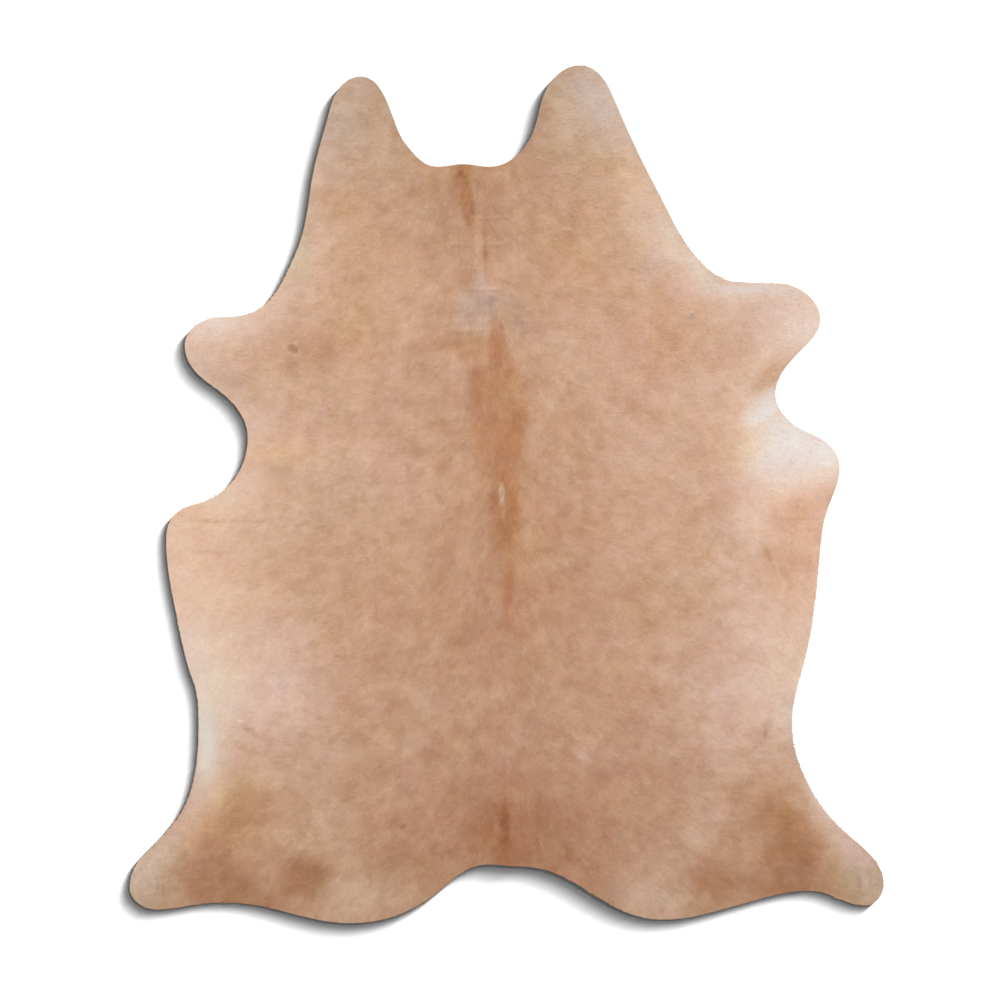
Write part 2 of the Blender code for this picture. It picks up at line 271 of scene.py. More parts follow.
# Markings of the coat, placed one by one: x, y, half_length and half_width in metres, turn in degrees from
# +X.
# lift changes the level, warm turns the colour to ochre or, below nought, to grey, and pink to pink or
# green. hard is 2 or 3 for a firm edge, and left out for a soft one.
MARKS = table(
    "Mark",
    "name x y half_length half_width turn lift warm pink hard",
    ("nape stripe", -0.102, 0.736, 0.085, 0.024, 101, -4, 3, -1),
    ("nape shade", -0.125, 0.735, 0.110, 0.070, 95, -6, 0, 2),
    ("neck bay shade", -0.053, 0.790, 0.160, 0.080, 0, -16, 7, 0),
    ("left nape shade", -0.214, 0.745, 0.075, 0.050, 0, -7, 0, 0),
    ("crest grey", -0.072, 0.458, 0.06, 0.052, 90, 8, -19, -5, 2),
    ("withers stub left", -0.100, 0.362, 0.058, 0.030, 0, -9, 8, 0, 2),
    ("crest grey core", -0.061, 0.486, 0.026, 0.02, 90, -4, -8, 1),
    ("crest left shade", -0.147, 0.437, 0.040, 0.022, 90, -7, -4, -2),
    ("crest grey side", -0.009, 0.481, 0.035, 0.030, 0, -1, -11, -3),
    ("crest grey arm", 0.033, 0.437, 0.052, 0.034, 95, -14, -15, -2),
    ("withers band", -0.02, 0.198, 0.162, 0.071, 90, -17, 12, 0, 3),
    ("withers low hue", -0.012, 0.075, 0.055, 0.045, 90, 4, -3, -3),
    ("withers low left", -0.052, 0.036, 0.040, 0.016, 90, -8, 2, -1),
    ("withers side shade", -0.112, 0.135, 0.045, 0.020, 90, -7, 0, 0),
    ("withers top right", 0.000, 0.312, 0.035, 0.024, 90, -8, 0, 4, 2),
    ("withers top left", -0.080, 0.256, 0.085, 0.019, 90, -13, 0, 0, 2),
    ("withers top", -0.026, 0.375, 0.060, 0.021, 90, -20, 6, 4, 2),
    ("withers left arm", -0.140, 0.374, 0.055, 0.015, 4, -18, -2, -1),
    ("withers dark edge", 0.036, 0.13, 0.100, 0.016, 88, -6, 5, 1),
    ("withers low shade", -0.014, 0.085, 0.070, 0.045, 90, -3, 2, 1),
    ("withers tail", -0.004, -0.050, 0.115, 0.036, 90, -15, 12, 0, 2),
    ("withers tail left hue", -0.075, 0.020, 0.050, 0.030, 90, 0, 6, 1),
    ("loin blob", 0.002, -0.250, 0.075, 0.017, 88, -16, 10, 3),
    ("tail surround", -0.004, -0.860, 0.130, 0.075, 90, -12, 3, 4),
    ("tail line shade", -0.004, -0.820, 0.110, 0.018, 90, -6, 2, 0),
    ("left neck ochre", -0.385, 0.716, 0.07, 0.035, 0, -8, 7, 1),
    ("left neck low ochre", -0.338, 0.630, 0.085, 0.050, 0, -1, 5, 2),
    ("left neck edge", -0.511, 0.600, 0.110, 0.028, 78, -4, -9, -11),
    ("left shoulder ochre", -0.382, 0.419, 0.120, 0.080, 95, -3, 10, -2),
    ("right neck ochre", 0.190, 0.665, 0.120, 0.085, 20, -2, 6, -2),
    ("right neck side ochre", 0.310, 0.780, 0.055, 0.045, 117, 0, 12, 0),
    ("right neck side light", 0.275, 0.630, 0.060, 0.045, 0, 7, 0, 2),
    ("right neck low ochre", 0.190, 0.560, 0.070, 0.050, 0, 0, 7, 0),
    ("right neck high ochre", 0.25, 0.818, 0.05, 0.03, 10, -7, 10, 0),
    ("right shoulder ochre", 0.385, 0.382, 0.120, 0.080, 80, -3, 9, 5),
    ("left loin shade", -0.177, -0.236, 0.080, 0.050, 90, -7, 0, 0),
    ("right hip shade", 0.145, -0.600, 0.070, 0.050, 0, -5, 0, 0),
    ("left shoulder blade shade", -0.300, 0.225, 0.060, 0.050, 90, -7, 1, 0),
    ("spine hue", 0.045, -0.080, 0.280, 0.075, 90, 0, 7, 2),
    ("left ribs hue", -0.390, 0.000, 0.120, 0.090, 0, 0, -6, -4),
    ("left shoulder light", -0.360, 0.105, 0.060, 0.050, 0, 8, 0, 0),
    ("left back shade", -0.145, -0.485, 0.070, 0.045, 90, -4, -1, 0),
    ("left back light", -0.190, -0.550, 0.040, 0.050, 0, 9, 0, 0),
    ("left hip shade", -0.295, -0.635, 0.060, 0.045, 0, -3, 0, 0),
    ("left withers shade", -0.177, 0.172, 0.090, 0.045, 90, -6, 0, 0),
    ("right back light", 0.310, -0.113, 0.050, 0.045, 0, 7, 0, 0),
    ("right rib light", 0.310, 0.073, 0.090, 0.050, 90, 8, 0, 0),
    ("right shoulder light", 0.454, 0.259, 0.070, 0.050, 0, 9, 0, 0),
    ("left neck tip", -0.367, 0.985, 0.100, 0.080, 0, -12, -5, 1),
    ("left flap grey", -0.424, 0.877, 0.090, 0.050, 80, 1, -13, -1),
    ("left flap inner side", -0.263, 0.900, 0.100, 0.035, 115, -14, 0, 0),
    ("right flap inner side", 0.070, 0.880, 0.110, 0.06, 68, -18, -2, 3),
    ("right neck tip", 0.231, 0.964, 0.1, 0.06, 120, 12, -14, 1),
    ("right flap tip shade", 0.169, 1.030, 0.060, 0.040, 0, -10, -8, 0),
    ("right neck pale side", 0.345, 0.710, 0.150, 0.055, 117, 11, -2, 0),
    ("withers right light", 0.157, 0.407, 0.055, 0.040, 90, 8, 0, 0),
    ("right shoulder edge pale", 0.454, 0.560, 0.100, 0.030, -40, 9, -3, -4),
    ("right neck mauve", 0.367, 0.565, 0.040, 0.025, 20, -8, -14, 0),
    ("right neck edge white", 0.482, 0.571, 0.050, 0.018, -45, 11, -12, -6),
    ("right neck pale patch", 0.412, 0.652, 0.035, 0.020, 120, 11, -9, -7),
    ("right foreleg pale", 0.730, 0.435, 0.130, 0.080, 0, 17, -7, 2),
    ("right foreleg smudge", 0.620, 0.456, 0.040, 0.024, 0, -13, -6, 0),
    ("right foreleg top grey", 0.590, 0.506, 0.120, 0.018, -2, 13, -22, -3),
    ("right foreleg under shade", 0.735, 0.320, 0.060, 0.045, 30, -18, -4, 0),
    ("right armpit rim shade", 0.650, 0.284, 0.055, 0.028, 50, -22, 3, 0, 2),
    ("left foreleg pale", -0.725, 0.440, 0.080, 0.040, 0, 17, -8, 1),
    ("left foreleg shade", -0.615, 0.27, 0.120, 0.100, 10, -8, 0, 0),
    ("left shoulder edge shade", -0.548, 0.432, 0.090, 0.060, 45, -6, -3, -1),
    ("left foreleg under shade", -0.704, 0.271, 0.090, 0.050, -35, -14, -11, -5),
    ("left foreleg tip shade", -0.775, 0.335, 0.060, 0.050, 0, -8, -3, 1),
    ("left foreleg warm patch", -0.466, 0.370, 0.060, 0.045, 0, -13, -2, 5),
    ("right armpit white", 0.706, 0.105, 0.125, 0.11, 20, 33, -17, -2, 2),
    ("right elbow tip hue", 0.775, 0.050, 0.055, 0.035, 0, -1, 10, 3),
    ("right armpit core", 0.690, 0.110, 0.045, 0.035, 0, 5, 0, -1),
    ("right armpit low hue", 0.700, -0.005, 0.065, 0.040, 0, 8, 11, 2),
    ("right armpit glow", 0.612, 0.13, 0.055, 0.04, 90, -2, 13, -1),
    ("right armpit shine", 0.590, 0.050, 0.180, 0.090, 90, 7, 2, 0),
    ("right armpit white top", 0.636, 0.214, 0.064, 0.032, 40, 17, -16, -5, 3),
    ("right armpit low grey", 0.675, 0.168, 0.045, 0.030, 0, -4, -6, -6),
    ("right armpit white side", 0.592, 0.172, 0.030, 0.025, 0, 8, -6, 3),
    ("right elbow top peach", 0.763, -0.021, 0.065, 0.035, 10, -8, 3, 3),
    ("right elbow tip pale", 0.805, 0.085, 0.050, 0.040, 70, 14, -5, -4),
    ("right elbow peach", 0.735, -0.120, 0.120, 0.080, 95, -13, 9, 5),
    ("right elbow orange", 0.677, -0.199, 0.080, 0.060, 100, -10, 2, 2),
    ("right rib ochre", 0.575, 0.110, 0.080, 0.050, 90, 0, 2, -2),
    ("right elbow inner hue", 0.560, -0.140, 0.080, 0.050, 90, 0, -6, 0),
    ("right elbow inner light", 0.615, -0.063, 0.080, 0.040, 90, 15, 0, 0),
    ("right belly edge warm", 0.726, -0.310, 0.130, 0.060, 83, -3, 3, -2),
    ("left elbow orange", -0.77, -0.042, 0.070, 0.050, 0, -2, 7, 0),
    ("left elbow pale", -0.696, -0.014, 0.080, 0.060, 0, 7, 4, 0),
    ("left belly peach", -0.758, -0.187, 0.130, 0.110, 90, 0, 7, 1),
    ("left inner belly hue", -0.680, -0.430, 0.090, 0.070, 90, 0, 6, -3),
    ("left flank cream", -0.734, -0.533, 0.170, 0.070, 95, 12, -5, -5),
    ("right hip pale", 0.712, -0.480, 0.110, 0.040, 90, 5, 0, -3),
    ("right hock smudge", 0.697, -0.516, 0.030, 0.018, 0, -15, -2, -3),
    ("right hock notch", 0.698, -0.555, 0.040, 0.018, 88, 3, -9, -9),
    ("left hock cream", -0.738, -0.690, 0.110, 0.034, 100, 22, 0, -2),
    ("left hock white edge", -0.769, -0.715, 0.072, 0.026, 78, 14, -12, -6),
    ("left flank grey", -0.751, -0.595, 0.075, 0.030, 92, 7, -20, -10),
    ("left belly edge cream", -0.785, -0.397, 0.120, 0.035, 95, 4, -9, 0),
    ("left flank lilac", -0.548, -0.508, 0.190, 0.110, 95, 9, -7, 0),
    ("right flank lilac", 0.528, -0.459, 0.210, 0.110, 85, 0, -7, 0),
    ("left armpit ochre", -0.568, 0.098, 0.110, 0.035, -2, 1, 14, -3),
    ("left elbow crease grey", -0.720, -0.005, 0.034, 0.024, 0, 0, -8, -9),
    ("left ribs shade", -0.536, -0.125, 0.170, 0.110, 90, -7, 0, -3),
    ("left upper ribs shade", -0.548, 0.036, 0.080, 0.060, 0, -6, 0, 0),
    ("left thigh ochre", -0.672, -0.793, 0.110, 0.065, 70, -13, 13, -5),
    ("left thigh low", -0.738, -0.945, 0.105, 0.055, 5, -14, 1, 4),
    ("left thigh bottom", -0.635, -1.010, 0.140, 0.05, 0, -16, 2, 0),
    ("left stifle spot", -0.494, -0.944, 0.068, 0.056, 20, -27, 5, -2, 2),
    ("right thigh ochre", 0.695, -0.805, 0.130, 0.075, 125, -18, 10, -2),
    ("right thigh inner", 0.590, -0.842, 0.050, 0.032, 40, -10, 1, 3),
    ("right thigh core", 0.717, -0.86, 0.070, 0.030, 111, -7, 0, 2),
    ("right thigh low", 0.670, -0.925, 0.100, 0.050, 0, -13, 2, 2),
    ("right thigh low light", 0.580, -0.915, 0.040, 0.050, 0, 8, -3, 1),
    ("right thigh low grey", 0.725, -0.935, 0.050, 0.035, 0, -7, -9, 0),
    ("right leg low edge shade", 0.690, -0.985, 0.115, 0.026, 0, -13, 0, 0),
    ("right stifle spot", 0.496, -0.958, 0.070, 0.048, 0, -22, 4, 2),
    ("left foot tip", -0.895, -0.960, 0.110, 0.075, 40, 19, -14, -9),
    ("left thigh inner light", -0.585, -0.855, 0.070, 0.030, 0, 17, 6, 0),
    ("left hip light", -0.615, -0.715, 0.090, 0.050, 0, 9, 1, -1),
    ("left leg pale side", -0.83, -0.855, 0.125, 0.038, 45, 25, 0, 2),
    ("left foot ochre", -0.765, -0.850, 0.040, 0.030, 40, -5, 7, 2),
    ("right foot tip", 0.893, -0.962, 0.090, 0.075, 140, 12, -15, -6),
    ("right leg pale side", 0.824, -0.848, 0.140, 0.038, -50, 34, -8, 0),
    ("right leg white edge", 0.797, -0.774, 0.080, 0.018, -46, 34, -8, 0),
    ("left rump lobe", -0.387, -1.016, 0.100, 0.080, 0, 17, -4, 1),
    ("left rump low edge", -0.200, -0.965, 0.080, 0.035, 35, 7, 2, 0),
    ("left rump corner", -0.283, -1.003, 0.060, 0.040, 20, 9, 0, 0),
    ("right rump lobe", 0.367, -1.000, 0.100, 0.100, 0, 20, -9, 1),
    ("left rump light path", -0.45, -0.845, 0.150, 0.07, 85, 8, -2, -2),
    ("left rump inner shade", -0.290, -0.930, 0.080, 0.050, 60, -8, 0, 0),
    ("right rump light path", 0.48, -0.820, 0.160, 0.06, 75, 8, -3, 1),
    ("right thigh pale gap", 0.520, -0.880, 0.090, 0.060, 60, 6, 0, 0),
    ("right tail shade", 0.170, -0.930, 0.060, 0.040, -30, -7, 0, 0),
    ("right rump inner shade", 0.300, -0.720, 0.070, 0.060, 0, -8, 0, 0),
    ("right back shade", 0.355, -0.496, 0.090, 0.050, 80, -7, 0, 0),
    ("right thigh light", 0.545, -0.73, 0.060, 0.040, 60, 9, 0, 0),
    ("left rump shade", -0.189, -0.855, 0.140, 0.110, 60, -5, 2, 1),
    ("right rump shade", 0.132, -0.880, 0.140, 0.110, 120, -9, 2, 1),
    ("left back grey spot", -0.231, -0.620, 0.028, 0.024, 0, 7, -7, 0),
    ("right back bright spot", 0.187, -0.644, 0.024, 0.011, -35, 18, -6, 1),
    ("right hock shade", 0.701, -0.640, 0.050, 0.045, 0, -10, -6, -3),
    defaults=(1,),
)

# Thin lines and small specks: half_length and half_width are where they end. At their core the light of red,
# green and blue falls by shade times 1 - blue, 1 and 1 + blue. A shade below nought lightens. core is how far
# in from the end a line has its full strength, as a share. It is left out where that is only at its middle.
# The fold, ripple and crease lines among them are painted shade and painted light of the skin's wrinkles.
LINES = table(
    "Line",
    "name x y half_length half_width turn shade blue core",
    ("nape dot", -0.112, 0.795, 0.042, 0.034, 75, 0.36, 0.35),
    ("nape stripe", -0.095, 0.716, 0.088, 0.026, 98, 0.21, 0.40, 0.6),
    ("nape stripe low", -0.094, 0.655, 0.040, 0.024, 90, 0.06, 0.35),
    ("nape stripe edge", -0.085, 0.722, 0.045, 0.006, 92, 0.14, 0.30),
    ("neck thread", -0.053, 0.610, 0.090, 0.008, 91, 0.26, 0.5),
    ("neck thread light", -0.071, 0.615, 0.055, 0.014, 90, -0.15, 0.20),
    # From here to arm fold three, the rows named fold or ripple are the wrinkles' painted shade where they
    # darken and painted light where they lighten.
    ("neck fold one", -0.028, 0.681, 0.050, 0.005, 3, 0.12, 0.30),
    ("neck fold one light", -0.026, 0.689, 0.045, 0.006, 3, -0.13, 0.25),
    ("neck curl", -0.036, 0.662, 0.034, 0.007, -60, 0.11, 0.30),
    ("neck curl light", -0.070, 0.672, 0.018, 0.014, 0, -0.14, 0.20),
    ("neck ripple one", -0.150, 0.680, 0.075, 0.006, 28, 0.07, 0.25),
    ("neck fold two", -0.115, 0.614, 0.045, 0.006, -4, 0.12, 0.30),
    ("neck fold two light", -0.112, 0.622, 0.042, 0.006, -6, -0.10, 0.30),
    ("neck fold two bend", -0.083, 0.600, 0.032, 0.006, -50, 0.12, 0.30),
    ("neck fold three", -0.025, 0.615, 0.038, 0.006, 5, 0.14, 0.30),
    ("neck fold three light", -0.025, 0.623, 0.036, 0.006, 5, -0.09, 0.30),
    ("neck fold four", -0.024, 0.579, 0.034, 0.006, 6, 0.14, 0.30),
    ("neck fold five light", -0.105, 0.564, 0.065, 0.006, -3, -0.08, 0.20),
    ("neck fold six", 0.002, 0.524, 0.048, 0.006, -22, 0.13, 0.30),
    ("crest fold light", -0.055, 0.512, 0.062, 0.006, -1, -0.14, 0.30),
    ("crest fold shade", -0.060, 0.503, 0.062, 0.005, -1, 0.09, 0.10),
    ("crest arc right", -0.030, 0.495, 0.032, 0.006, -18, -0.18, 0.30),
    ("crest light spot", -0.063, 0.531, 0.028, 0.020, 85, -0.2, 0.8),
    ("crest core shade", -0.058, 0.467, 0.034, 0.028, 90, 0.08, -0.1),
    ("crest dark rim", -0.038, 0.468, 0.050, 0.007, 88, 0.14, -0.20),
    ("crest fold two", -0.090, 0.434, 0.070, 0.005, 1, -0.12, 0.30),
    ("crest fold three", -0.085, 0.411, 0.060, 0.006, 3, -0.16, 0.20),
    ("crest fold four", -0.110, 0.400, 0.075, 0.006, 3, 0.10, 0.20),
    ("arm fold two", 0.048, 0.427, 0.040, 0.006, 4, 0.08, 0.10),
    ("arm fold three", 0.046, 0.400, 0.036, 0.006, 6, 0.10, 0.10),
    ("withers light streak", -0.090, 0.328, 0.026, 0.006, 88, -0.20, 0.20),
    ("fleck", -0.012, 0.001, 0.036, 0.0105, 88, -0.6, 0.75, 0.7),
    ("fleck tail", -0.009, -0.046, 0.030, 0.010, 90, -0.2, 0.30),
    ("left tuft", -0.033, -0.012, 0.045, 0.02, 80, 0.25, 0.30),
    ("right tuft", 0.018, -0.044, 0.072, 0.027, 95, 0.2, 0.30),
    ("low tuft", -0.004, -0.095, 0.062, 0.027, 90, 0.2, 0.35),
    ("back thread", -0.003, -0.480, 0.300, 0.006, 90, 0.05, 0.30),
    ("tail line core", -0.005, -0.830, 0.080, 0.021, 91, 0.17, 0.35, 0.7),
    ("tail line", -0.002, -0.79, 0.13, 0.012, 90, 0.1, 0.30),
    ("tail line foot", -0.001, -0.902, 0.045, 0.024, 90, 0.12, 0.35),
    ("tail light edge", 0.012, -0.825, 0.060, 0.006, 90, -0.10, 0.20),
    ("left rump speck", -0.258, -0.826, 0.017, 0.012, 20, 0.28, 0.50),
    ("left rump speck side", -0.237, -0.817, 0.018, 0.009, 25, 0.11, 0.50),
    ("left rump light", -0.250, -0.649, 0.036, 0.017, 35, -0.13, 0.15),
    ("left foreleg mark", -0.531, 0.360, 0.018, 0.014, -35, 0.24, 0.22, 0.35),
    ("right shoulder speck", 0.461, 0.441, 0.014, 0.011, 60, 0.1, -1.5, 0.7),
    ("right armpit speck", 0.704, 0.078, 0.007, 0.014, 0, 0.12, -0.10),
    # Painted shade along the right elbow's crease.
    ("right elbow crease", 0.722, -0.061, 0.075, 0.006, 0, 0.11, 0.30),
    ("right elbow streak", 0.648, -0.165, 0.055, 0.022, -72, 0.12, 0.35),
    ("right elbow streak core", 0.650, -0.150, 0.045, 0.010, -75, 0.10, 0.30),
    ("right flank streak", 0.646, -0.578, 0.045, 0.017, 70, 0.17, 0.20),
    # The two right foot creases: painted shade along the creases.
    ("right foot crease", 0.877, -0.970, 0.024, 0.008, 88, 0.12, 0.10),
    ("right foot crease two", 0.904, -0.967, 0.024, 0.007, 100, 0.09, 0.10),
    ("right flank streak core", 0.643, -0.592, 0.020, 0.008, 80, 0.16, 0.20),
    # The left elbow and belly creases: painted shade along the creases.
    ("left elbow crease", -0.690, -0.069, 0.150, 0.006, 0, 0.07, 0.30, 0.7),
    ("left elbow crease core", -0.748, -0.066, 0.055, 0.009, 0, 0.10, 0.40),
    ("left belly crease", -0.735, -0.145, 0.085, 0.009, -1, 0.09, 0.40),
    ("left flank streak", -0.637, -0.588, 0.042, 0.012, -38, 0.18, 0.00),
    # The three left foot creases: painted shade along the creases.
    ("left foot crease", -0.853, -0.982, 0.028, 0.007, 92, 0.12, 0.10),
    ("left foot crease side", -0.868, -0.980, 0.014, 0.008, 75, 0.09, 0.10),
    ("left foot upper crease", -0.796, -0.903, 0.030, 0.008, 92, 0.10, 0.20),
    ("left flank streak light", -0.662, -0.563, 0.012, 0.009, 0, -0.18, 0.20),
    defaults=(1.0,),
)
# How far and over what distance the lines wander, in metres. In patches, finer than that, they go from
# faint to strong as the patches' noise goes from its low to its high.
LINE_WANDER = 0.010
LINE_WANDER_SIZE = 0.022
LINE_PATCH_FINENESS = 1.6
LINE_PATCH_LOW = 0.35
LINE_PATCH_HIGH = 0.60
LINE_FAINTEST = 0.80
LINE_STRONGEST = 1.45
# Half the height of a line's own space, far more than the hide's, so that all it depends on is its place
# in the view from above.
LINE_HALF_HEIGHT = 10.0

# Crackle, drawn on the hair by its colour: brownish blotches of tone with a pale thin rim of painted sheen.
# Each stop is a height of its noise and the share of red, green and blue light there. It fades from dark
# hair to pale.
CRACKLE = (
    (0.400, (0.965, 0.950, 0.935)),
    (0.475, (0.970, 0.960, 0.945)),
    (0.500, (1.065, 1.075, 1.080)),
    (0.525, (1.005, 1.005, 1.005)),
    (0.600, (1.030, 1.030, 1.035)),
)
CRACKLE_SIZE = 0.042
CRACKLE_DARK = 0.34
CRACKLE_PALE = 0.56
CRACKLE_LEAST = 0.15

# Random patches of the coat: their size in metres, and how far they change level, warm and pink.
PATCHES = table(
    "Patch",
    "name size level warm pink",
    ("cloud", 0.110, 2.0, 1.8, 1.1),
    ("patch", 0.065, 3.2, 1.8, 1.7),
    ("blotch", 0.036, 5.5, 2.5, 2.3),
    ("fleck", 0.015, 5.5, 1.8, 1.8),
)
# They and the differences between locks fade in pale hair: over FADE_LEVELS levels, ending at FADED_LEVEL,
# but not below a least share.
FADED_LEVEL = 222
FADE_LEVELS = 55
LEAST_PATCH = 0.35
LEAST_LOCK = 0.4
# Thin pale veins between the blotches, a painted sheen where clumps of hair catch the light: the size of the
# net's meshes, the veins' half width as a share of the patches' swing, and their level. A finer noise
# roughens them, and a broader one leaves gaps.
VEIN_SIZE = 0.050
VEIN_HALF_WIDTH = 0.13
SHEEN_VEIN_LEVEL = 7.0
VEIN_ROUGHNESS = 0.35
VEIN_ROUGHNESS_SIZE = VEIN_SIZE / 3
VEIN_GAP_SIZE = VEIN_SIZE * 1.4
VEIN_GAP_SWING = 1.2
# Markings waver: over each distance, their places shift by up to this much.
WAVERS = table("Waver", "distance shift", (0.080, 0.006), (0.020, 0.0025))

# Each soft noise has a seed of its own. Rows count on from the first, and fields in steps of SEED_STEP.
HEADING_SEED, WAVER_SEED, PATCH_SEED, VEIN_SEED = 901, 910, 930, 960
SEED_STEP = 10

# Half the size of the square that the noises and the plan cover, the plan's spacing, the points on each
# stretch of the outline, and how many points are measured from it at a time.
FIELD_REACH = 1.3
PLAN_SPACING = 0.008
OUTLINE_STEPS = 16
BATCH = 4000

# A lock is a thin closed kite of five points: its root, its two sides, its crown and its tip. Across and
# along are shares of its width and length. Its map is a small square of its own, free by the inset all round.
LOCK_FACES = ((0, 2, 3), (0, 3, 1), (3, 2, 4), (1, 3, 4), (0, 1, 2), (1, 4, 2))
LOCK_ACROSS = np.array((0.0, -0.5, 0.5, 0.0, 0.0))
LOCK_ALONG = np.array((0.0, 0.42, 0.42, 0.42, 1.0))
LOCK_MAP = np.stack((LOCK_ACROSS + 0.5, LOCK_ALONG), axis=1)
LOCK_MAP_INSET = np.array((0.14, 0.10))
FIBRE_MAP_SIZE = 40.0
# How far its shading leans aside and ahead at each point, and over what depth it sinks at the cut edge.
LOCK_LEANS = np.array(((0.0, -1.0, 1.0, 0.0, 0.0), (-0.3, 0.0, 0.0, 0.1, 0.6)))
HANG_REACH = 0.006

# The two kinds of lock: ranges of length, width and lift, the spread of bend, how deep the root is sunk,
# which is also their least height, how much lighter the crown is, in levels, as painted light on the lock's
# top, and each point's height over the skin as two shares of the coat's depth: a steady one, and one that
# lift multiplies.
LockKind = namedtuple("LockKind", "lengths widths bend lifts sink crown_light heights")
COAT_LOCK = LockKind(
    (0.75, 1.25), (0.75, 1.30), 0.07, (0.2, 1.0), 0.0004, 0.5,
    ((0.0, 0.0), (0.20, 0.25), (0.20, 0.25), (0.38, 0.30), (0.45, 0.45)),
)
EDGE_LOCK = LockKind(
    (0.7, 1.2), (0.7, 1.3), 0.08, (0.0, 1.0), 0.0003, 1.0,
    ((0.0, 0.0), (0.20, 0.30), (0.20, 0.30), (0.40, 0.40), (0.15, 0.55)),
)
# How far locks differ in warm and in pink.
LOCK_WARM = 2.0
LOCK_PINK = 1.0
# Edge hair: its least inset, how far it follows the coat's heading, the range of its overhang, and how far
# it at least points out.
EDGE_LEAST_INSET = 0.0015
EDGE_FOLLOWS = (0.3, 1.2)
EDGE_OVERHANGS = (0.3, 1.0)
EDGE_LEAST_OUT = 0.15

# Fibres to each square of a lock's map, and to the metre on the hair between the locks.
LOCK_FIBRES = (7.0, 0.7, 1.0)
BED_FIBRES = (420.0, 420.0, 420.0)
HAIR_SHEEN_TINT = (1.0, 0.93, 0.86, 1.0)
HAIR_ROUGHNESS_SWING = 0.10
HAIR_BUMP = 0.0004
# Where nodes stand in their tree: its left end, and the steps to the right and down from it.
TREE_LEFT, NODE_STEP, NODE_DROP = -3200, 200, 50
# Nearly all of a node's noise lies between these heights.
NOISE_LOW, NOISE_HIGH = 0.3, 0.7
# The flesh side's clouds, nap and veins to the metre, how dark clouds and veins are, and the veins' width.
FLESH_CLOUDS, FLESH_NAP, FLESH_VEINS = 6.0, 320.0, 14.0
FLESH_CLOUD_SHADE = 0.78
FLESH_CLOUD_LOW, FLESH_CLOUD_HIGH = 0.32, 0.68
FLESH_VEIN_SHADE = 0.90
FLESH_VEIN_WIDTH = 0.05
FLESH_ROUGHNESS = (0.80, 0.98)
FLESH_BUMP = 0.0005

# The skin's map: the top fills the left half and the underside the right, with a margin in metres round each.
MAP_MARGIN = 0.01
MAP_SCALE = (0.49, 0.99)
MAP_START = (0.003, 0.005)
MAP_UNDERSIDE = 0.505
# The wall's top ring sinks by this share of the edge's rounding, and its middle ring is half way up.
WALL_SINK = 0.3
SHARP_ANGLE = 50

# The suns that light the floor alone. Together they let the rug's shadow fade out away from its edge.
FLOOR_SUNS = table(
    "FloorSun",
    "name elevation spread share",
    ("floor_sun_low", 4.4, 3.2, 0.43),
    ("floor_sun_mid", 6.6, 3.6, 0.31),
    ("floor_sun_high", 10.0, 6.1, 0.23),
    ("floor_sun_top", 22.0, 20.0, 0.13),
)
SUN_HEIGHT = 3.0
# The floor lies just under the rug, and the camera measures its view at the coat's mean height.
FLOOR_DROP = 0.0003
COAT_HEIGHT = 0.004


def smooth_step(share):
    """Rises from 0 to 1 with a level start and end: 3 s squared less 2 s cubed."""
    share = np.clip(share, 0.0, 1.0)
    return share * share * (3.0 - 2.0 * share)


def bell(share):
    """1 at nought, falling away on both sides: e to the power of minus the square."""
    return np.exp(-(share**2))


def pointing(angle):
    """Unit vectors at angles in radians from +X."""
    return np.stack((np.cos(angle), np.sin(angle)), axis=-1)


def to_the_right(ways):
    """Flat vectors, each turned a quarter turn to the right."""
    return np.stack((ways[..., 1], -ways[..., 0]), axis=-1)


def unit(ways):
    """Vectors in the same directions, each 1 long."""
    return ways / np.linalg.norm(ways, axis=-1)[..., None]


def turned(x, y, place, turn):
    """How far each point lies along and across a line through place, turned by turn degrees."""
    angle = math.radians(turn)
    dx = x - place[0]
    dy = y - place[1]
    return dx * math.cos(angle) + dy * math.sin(angle), dy * math.cos(angle) - dx * math.sin(angle)


def read_grid(grid, u, v, ease=np.positive):
    """A square grid's heights at u and v, in steps of the grid: the mean of the four grid points round each
    place, weighed by how near they are, after ease has bent that."""
    last = len(grid) - 1
    i = np.clip(u.astype(int), 0, last - 1)
    j = np.clip(v.astype(int), 0, last - 1)
    s = ease(u - i)
    t = ease(v - j)
    low = grid[i, j] * (1 - s) + grid[i + 1, j] * s
    high = grid[i, j + 1] * (1 - s) + grid[i + 1, j + 1] * s
    return low * (1 - t) + high * t


def soft_noise(x, y, size, seed):
    """Random heights from -1 to 1 on a turned lattice of squares, joined by smooth steps. The lattice is
    three FIELD_REACH wide, so that it covers the field however it is turned."""
    rng = np.random.default_rng(seed)
    turn = rng.uniform(0.0, math.pi)
    count = int(3.0 * FIELD_REACH / size) + 4
    lattice = rng.uniform(-1.0, 1.0, (count, count))
    u = (x * math.cos(turn) + y * math.sin(turn) + 1.5 * FIELD_REACH) / size
    v = (y * math.cos(turn) - x * math.sin(turn) + 1.5 * FIELD_REACH) / size
    return read_grid(lattice, u, v, smooth_step)


def spine_at(y):
    """The spine's x, in metres, at each y."""
    places = np.array(column(SPINE, "y")) * LENGTH / 2
    return np.interp(y, places, np.array(column(SPINE, "x")) * WIDTH / 2)


